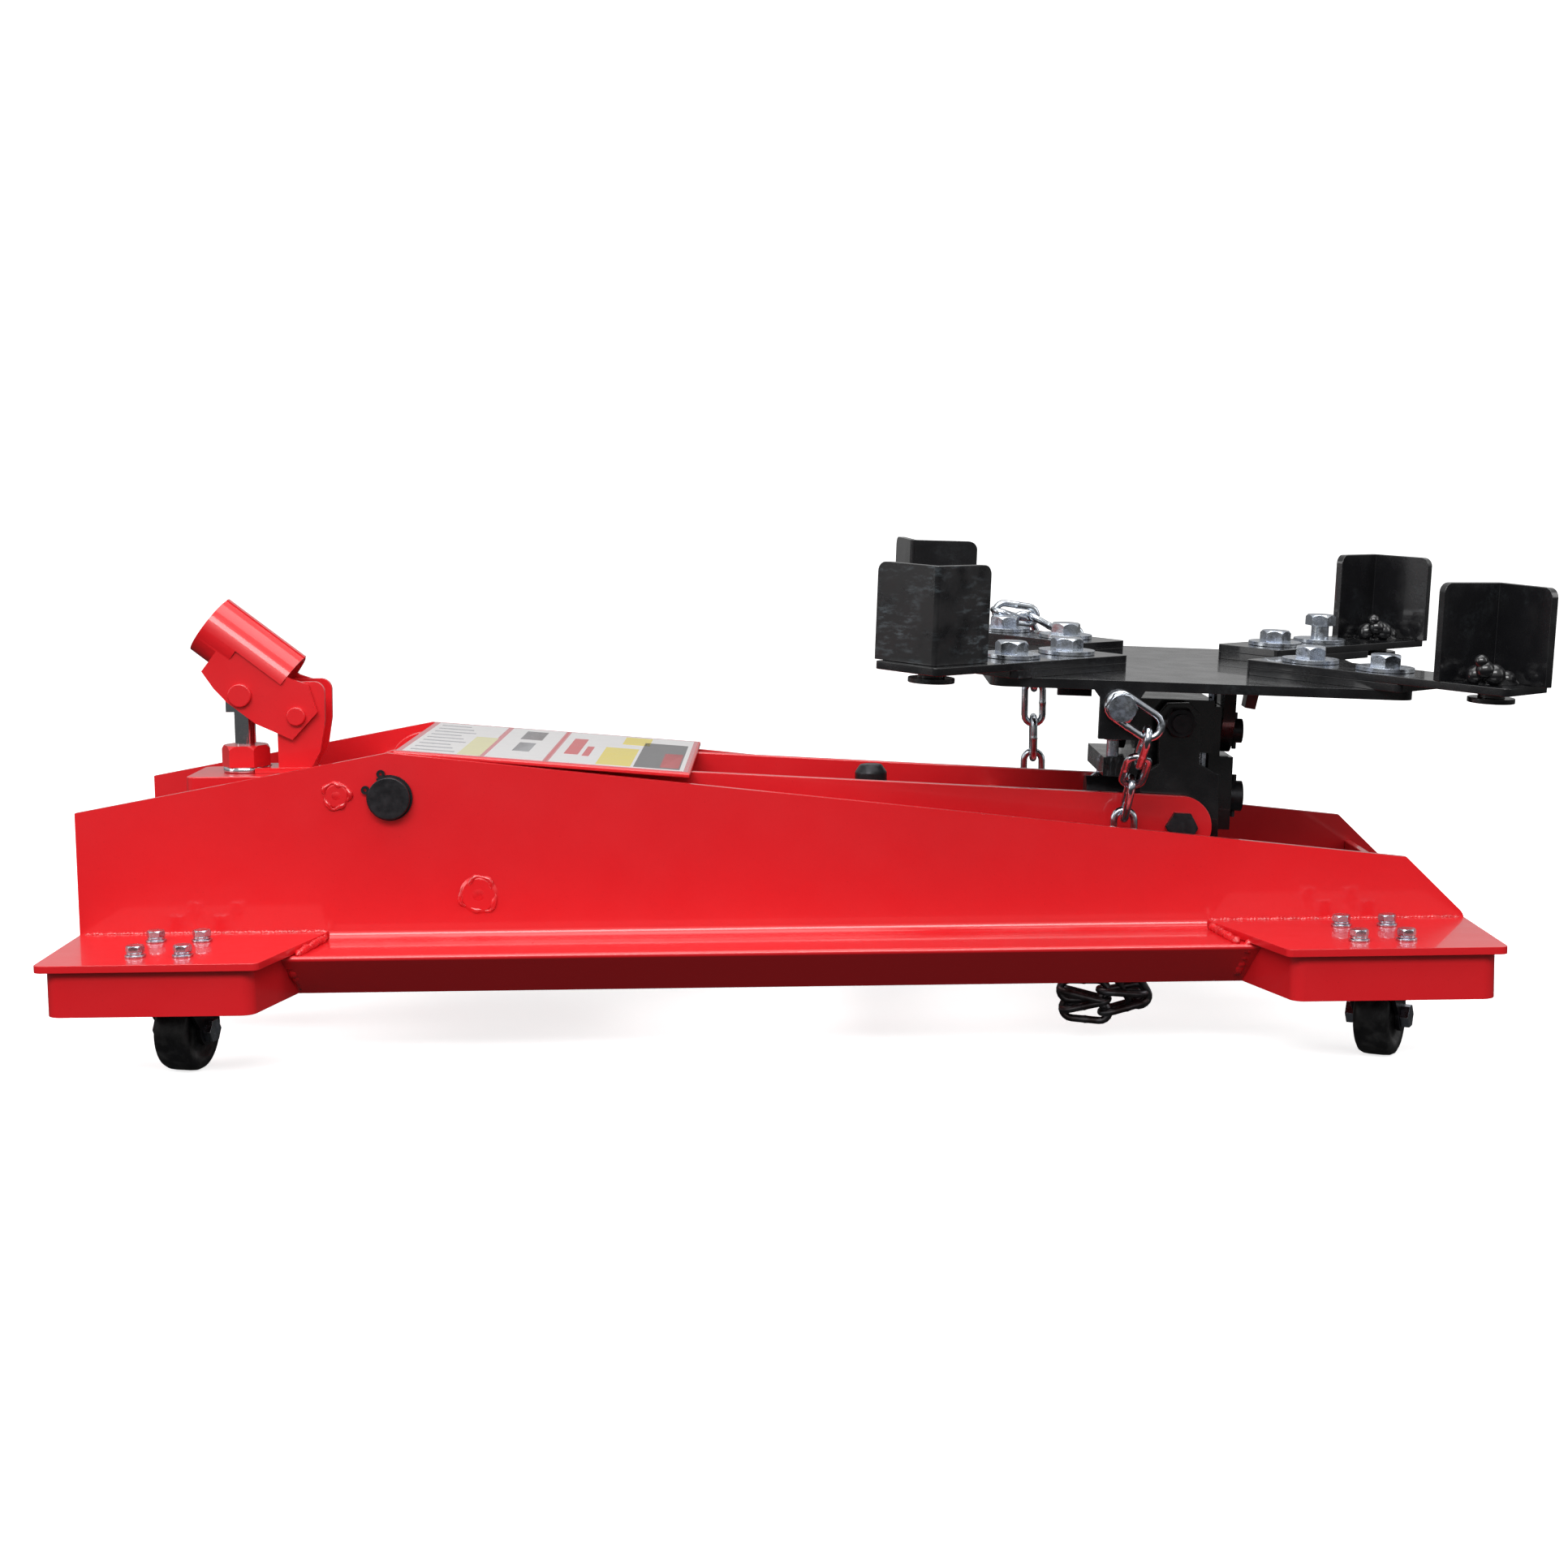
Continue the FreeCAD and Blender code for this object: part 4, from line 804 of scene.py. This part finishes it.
class JACK_OT_chains(bpy.types.Operator):
    """Bend every chain link as smooth wire where its CAD link lies"""
    bl_idname = "jack.chains"
    bl_label = "Chains"

    def execute(self, context):
        for node in ("chain_hook_link", "chain_near", "chain_far"):
            shape = bmesh.new()
            for points in islands(node):
                place, long, wide, wire = link_frame(points)
                add_link(shape, place, long, wide, wire)
            add_piece(node + "_wire", shape, BODY_OF[node], ["chain"], [node])
        return {"FINISHED"}


# --- stage ---------------------------------------------------------------------------------
# soft lights: name, place, what they point at, size across and up, and watts
LIGHTS = (("overhead", (0.1, -0.2, 2.2), (0.0, 0.0, 0.0), (2.6, 1.6), 30),
          ("front", (-0.4, -2.3, 1.9), (0.0, 0.0, 0.12), (2.6, 0.9), 60),
          ("left", (-2.2, -0.6, 0.9), (-0.2, 0.0, 0.15), (0.8, 1.2), 6),
          ("right", (2.2, -0.4, 1.0), (0.2, 0.0, 0.2), (0.8, 1.2), 6))


class JACK_OT_stage(bpy.types.Operator):
    """Set the pale floor, the soft lights and the camera"""
    bl_idname = "jack.stage"
    bl_label = "Stage"

    def execute(self, context):
        stage = context.scene.jack_stage
        self.backdrop()
        self.camera(stage)
        for name, place, target, size, watts in LIGHTS:
            self.light(name, place, target, size, watts)
        self.surround(stage.fill)
        context.scene.view_settings.view_transform = "Standard"
        return {"FINISHED"}

    def surround(self, strength):
        """A pale sky over a dark ground, so faces that look down stay deep."""
        world = bpy.data.worlds.new("surround")
        world.use_nodes = True
        nodes, links = world.node_tree.nodes, world.node_tree.links
        split = nodes.new("ShaderNodeSeparateXYZ")
        links.new(nodes.new("ShaderNodeTexCoord").outputs["Generated"], split.inputs["Vector"])
        ramp = nodes.new("ShaderNodeMapRange")
        for name, number in (("From Min", -0.15), ("From Max", 0.25), ("To Min", 0.06),
                             ("To Max", 1.0)):
            ramp.inputs[name].default_value = number
        links.new(split.outputs["Z"], ramp.inputs["Value"])
        background = nodes["Background"]
        background.inputs["Strength"].default_value = strength
        links.new(ramp.outputs["Result"], background.inputs["Color"])
        bpy.context.scene.world = world

    def backdrop(self):
        """A floor that curves up behind into a wall."""
        shape = bmesh.new()
        width, front, depth, rise, radius, steps = 14.0, -8.0, 5.0, 5.0, 2.0, 12
        profile = [(front, 0.0), (depth - radius, 0.0)]
        for i in range(1, steps + 1):
            turn = math.pi / 2 * i / steps
            profile.append((depth - radius * (1 - math.sin(turn)), radius * (1 - math.cos(turn))))
        profile.append((depth, rise))
        verts = [shape.verts.new((-width / 2, y, z)) for y, z in profile]
        edges = [shape.edges.new(pair) for pair in zip(verts, verts[1:])]
        made = bmesh.ops.extrude_edge_only(shape, edges=edges)
        moved = [item for item in made["geom"] if isinstance(item, bmesh.types.BMVert)]
        bmesh.ops.translate(shape, vec=(width, 0, 0), verts=moved)
        bmesh.ops.recalc_face_normals(shape, faces=shape.faces)
        mesh = bpy.data.meshes.new("backdrop")
        shape.to_mesh(mesh)
        shape.free()
        for face in mesh.polygons:
            face.use_smooth = True
        paper = Finish("white paper", 0.9, specular=0.1)
        paper.colour(paper.mix(paper.noise(3, 2), (0.86, 0.86, 0.86), (0.90, 0.90, 0.90)))
        paper.shader.inputs["Emission Color"].default_value = (1, 1, 1, 1)
        paper.shader.inputs["Emission Strength"].default_value = bpy.context.scene.jack_stage.glow
        mesh.materials.append(paper.material)
        floor = bpy.data.objects.new("backdrop", mesh)
        bpy.context.scene.collection.objects.link(floor)
        # only the camera sees the floor, so it throws no light up under the rails
        floor.visible_diffuse = False
        floor.visible_glossy = False

    def camera(self, stage):
        """A camera turned by its yaw, then pitched down, then rolled."""
        yaw, pitch, roll = stage.turn
        ahead = Vector((math.sin(yaw) * math.cos(pitch), math.cos(yaw) * math.cos(pitch),
                        -math.sin(pitch)))
        level = Vector((math.cos(yaw), -math.sin(yaw), 0))
        above = level.cross(ahead)
        right = math.cos(roll) * level + math.sin(roll) * above
        up = -math.sin(roll) * level + math.cos(roll) * above
        view = Matrix((right, up, -ahead)).transposed().to_4x4()
        lens = bpy.data.cameras.new("camera")
        lens.lens = stage.lens
        lens.sensor_width = 36.0
        lens.shift_x, lens.shift_y = stage.shift
        eye = bpy.data.objects.new("camera", lens)
        eye.matrix_world = Matrix.Translation(Vector(stage.eye)) @ view
        bpy.context.scene.collection.objects.link(eye)
        bpy.context.scene.camera = eye

    def light(self, name, place, target, size, watts):
        """A rectangular area light pointed at a target."""
        lamp = bpy.data.lights.new(name, "AREA")
        lamp.shape = "RECTANGLE"
        lamp.size, lamp.size_y = size
        lamp.energy = watts
        obj = bpy.data.objects.new(name, lamp)
        obj.location = place
        obj.rotation_euler = (Vector(target) - Vector(place)).to_track_quat("-Z", "Y").to_euler()
        bpy.context.scene.collection.objects.link(obj)


class JACK_PT_panel(bpy.types.Panel):
    """Lists the jack's pieces in the sidebar"""
    bl_idname = "JACK_PT_panel"
    bl_label = "Transmission jack"
    bl_space_type = "VIEW_3D"
    bl_region_type = "UI"
    bl_category = "Jack"

    def draw(self, context):
        for operator in OPERATORS:
            self.layout.operator(operator.bl_idname)
        for group in (getattr(context.scene, name) for name in GROUPS):
            for name in group.bl_rna.properties.keys():
                if name not in {"rna_type", "name"}:
                    self.layout.prop(group, name)


GROUPS = {"jack_finishes": JackFinishes, "jack_sizes": JackSizes, "jack_stage": JackStage}
OPERATORS = (JACK_OT_stage, JACK_OT_chassis, JACK_OT_welds, JACK_OT_weld_plugs, JACK_OT_casters,
             JACK_OT_arm, JACK_OT_label, JACK_OT_hydraulics, JACK_OT_handle_socket, JACK_OT_head,
             JACK_OT_saddle, JACK_OT_brackets, JACK_OT_bracket_welds, JACK_OT_chains)


def register():
    """Register the settings, the operators and the panel."""
    for name, group in GROUPS.items():
        bpy.utils.register_class(group)
        setattr(bpy.types.Scene, name, bpy.props.PointerProperty(type=group))
    for operator in OPERATORS:
        bpy.utils.register_class(operator)
    bpy.utils.register_class(JACK_PT_panel)


def unregister():
    """Take away what register() added."""
    bpy.utils.unregister_class(JACK_PT_panel)
    for operator in reversed(OPERATORS):
        bpy.utils.unregister_class(operator)
    for name, group in GROUPS.items():
        delattr(bpy.types.Scene, name)
        bpy.utils.unregister_class(group)


def main():
    """Build the whole scene, one operator after another."""
    register()
    FINISH.update(make_finishes())
    for operator in OPERATORS:
        family, name = operator.bl_idname.split(".")
        getattr(getattr(bpy.ops, family), name)()


if __name__ == "__main__":
    main()
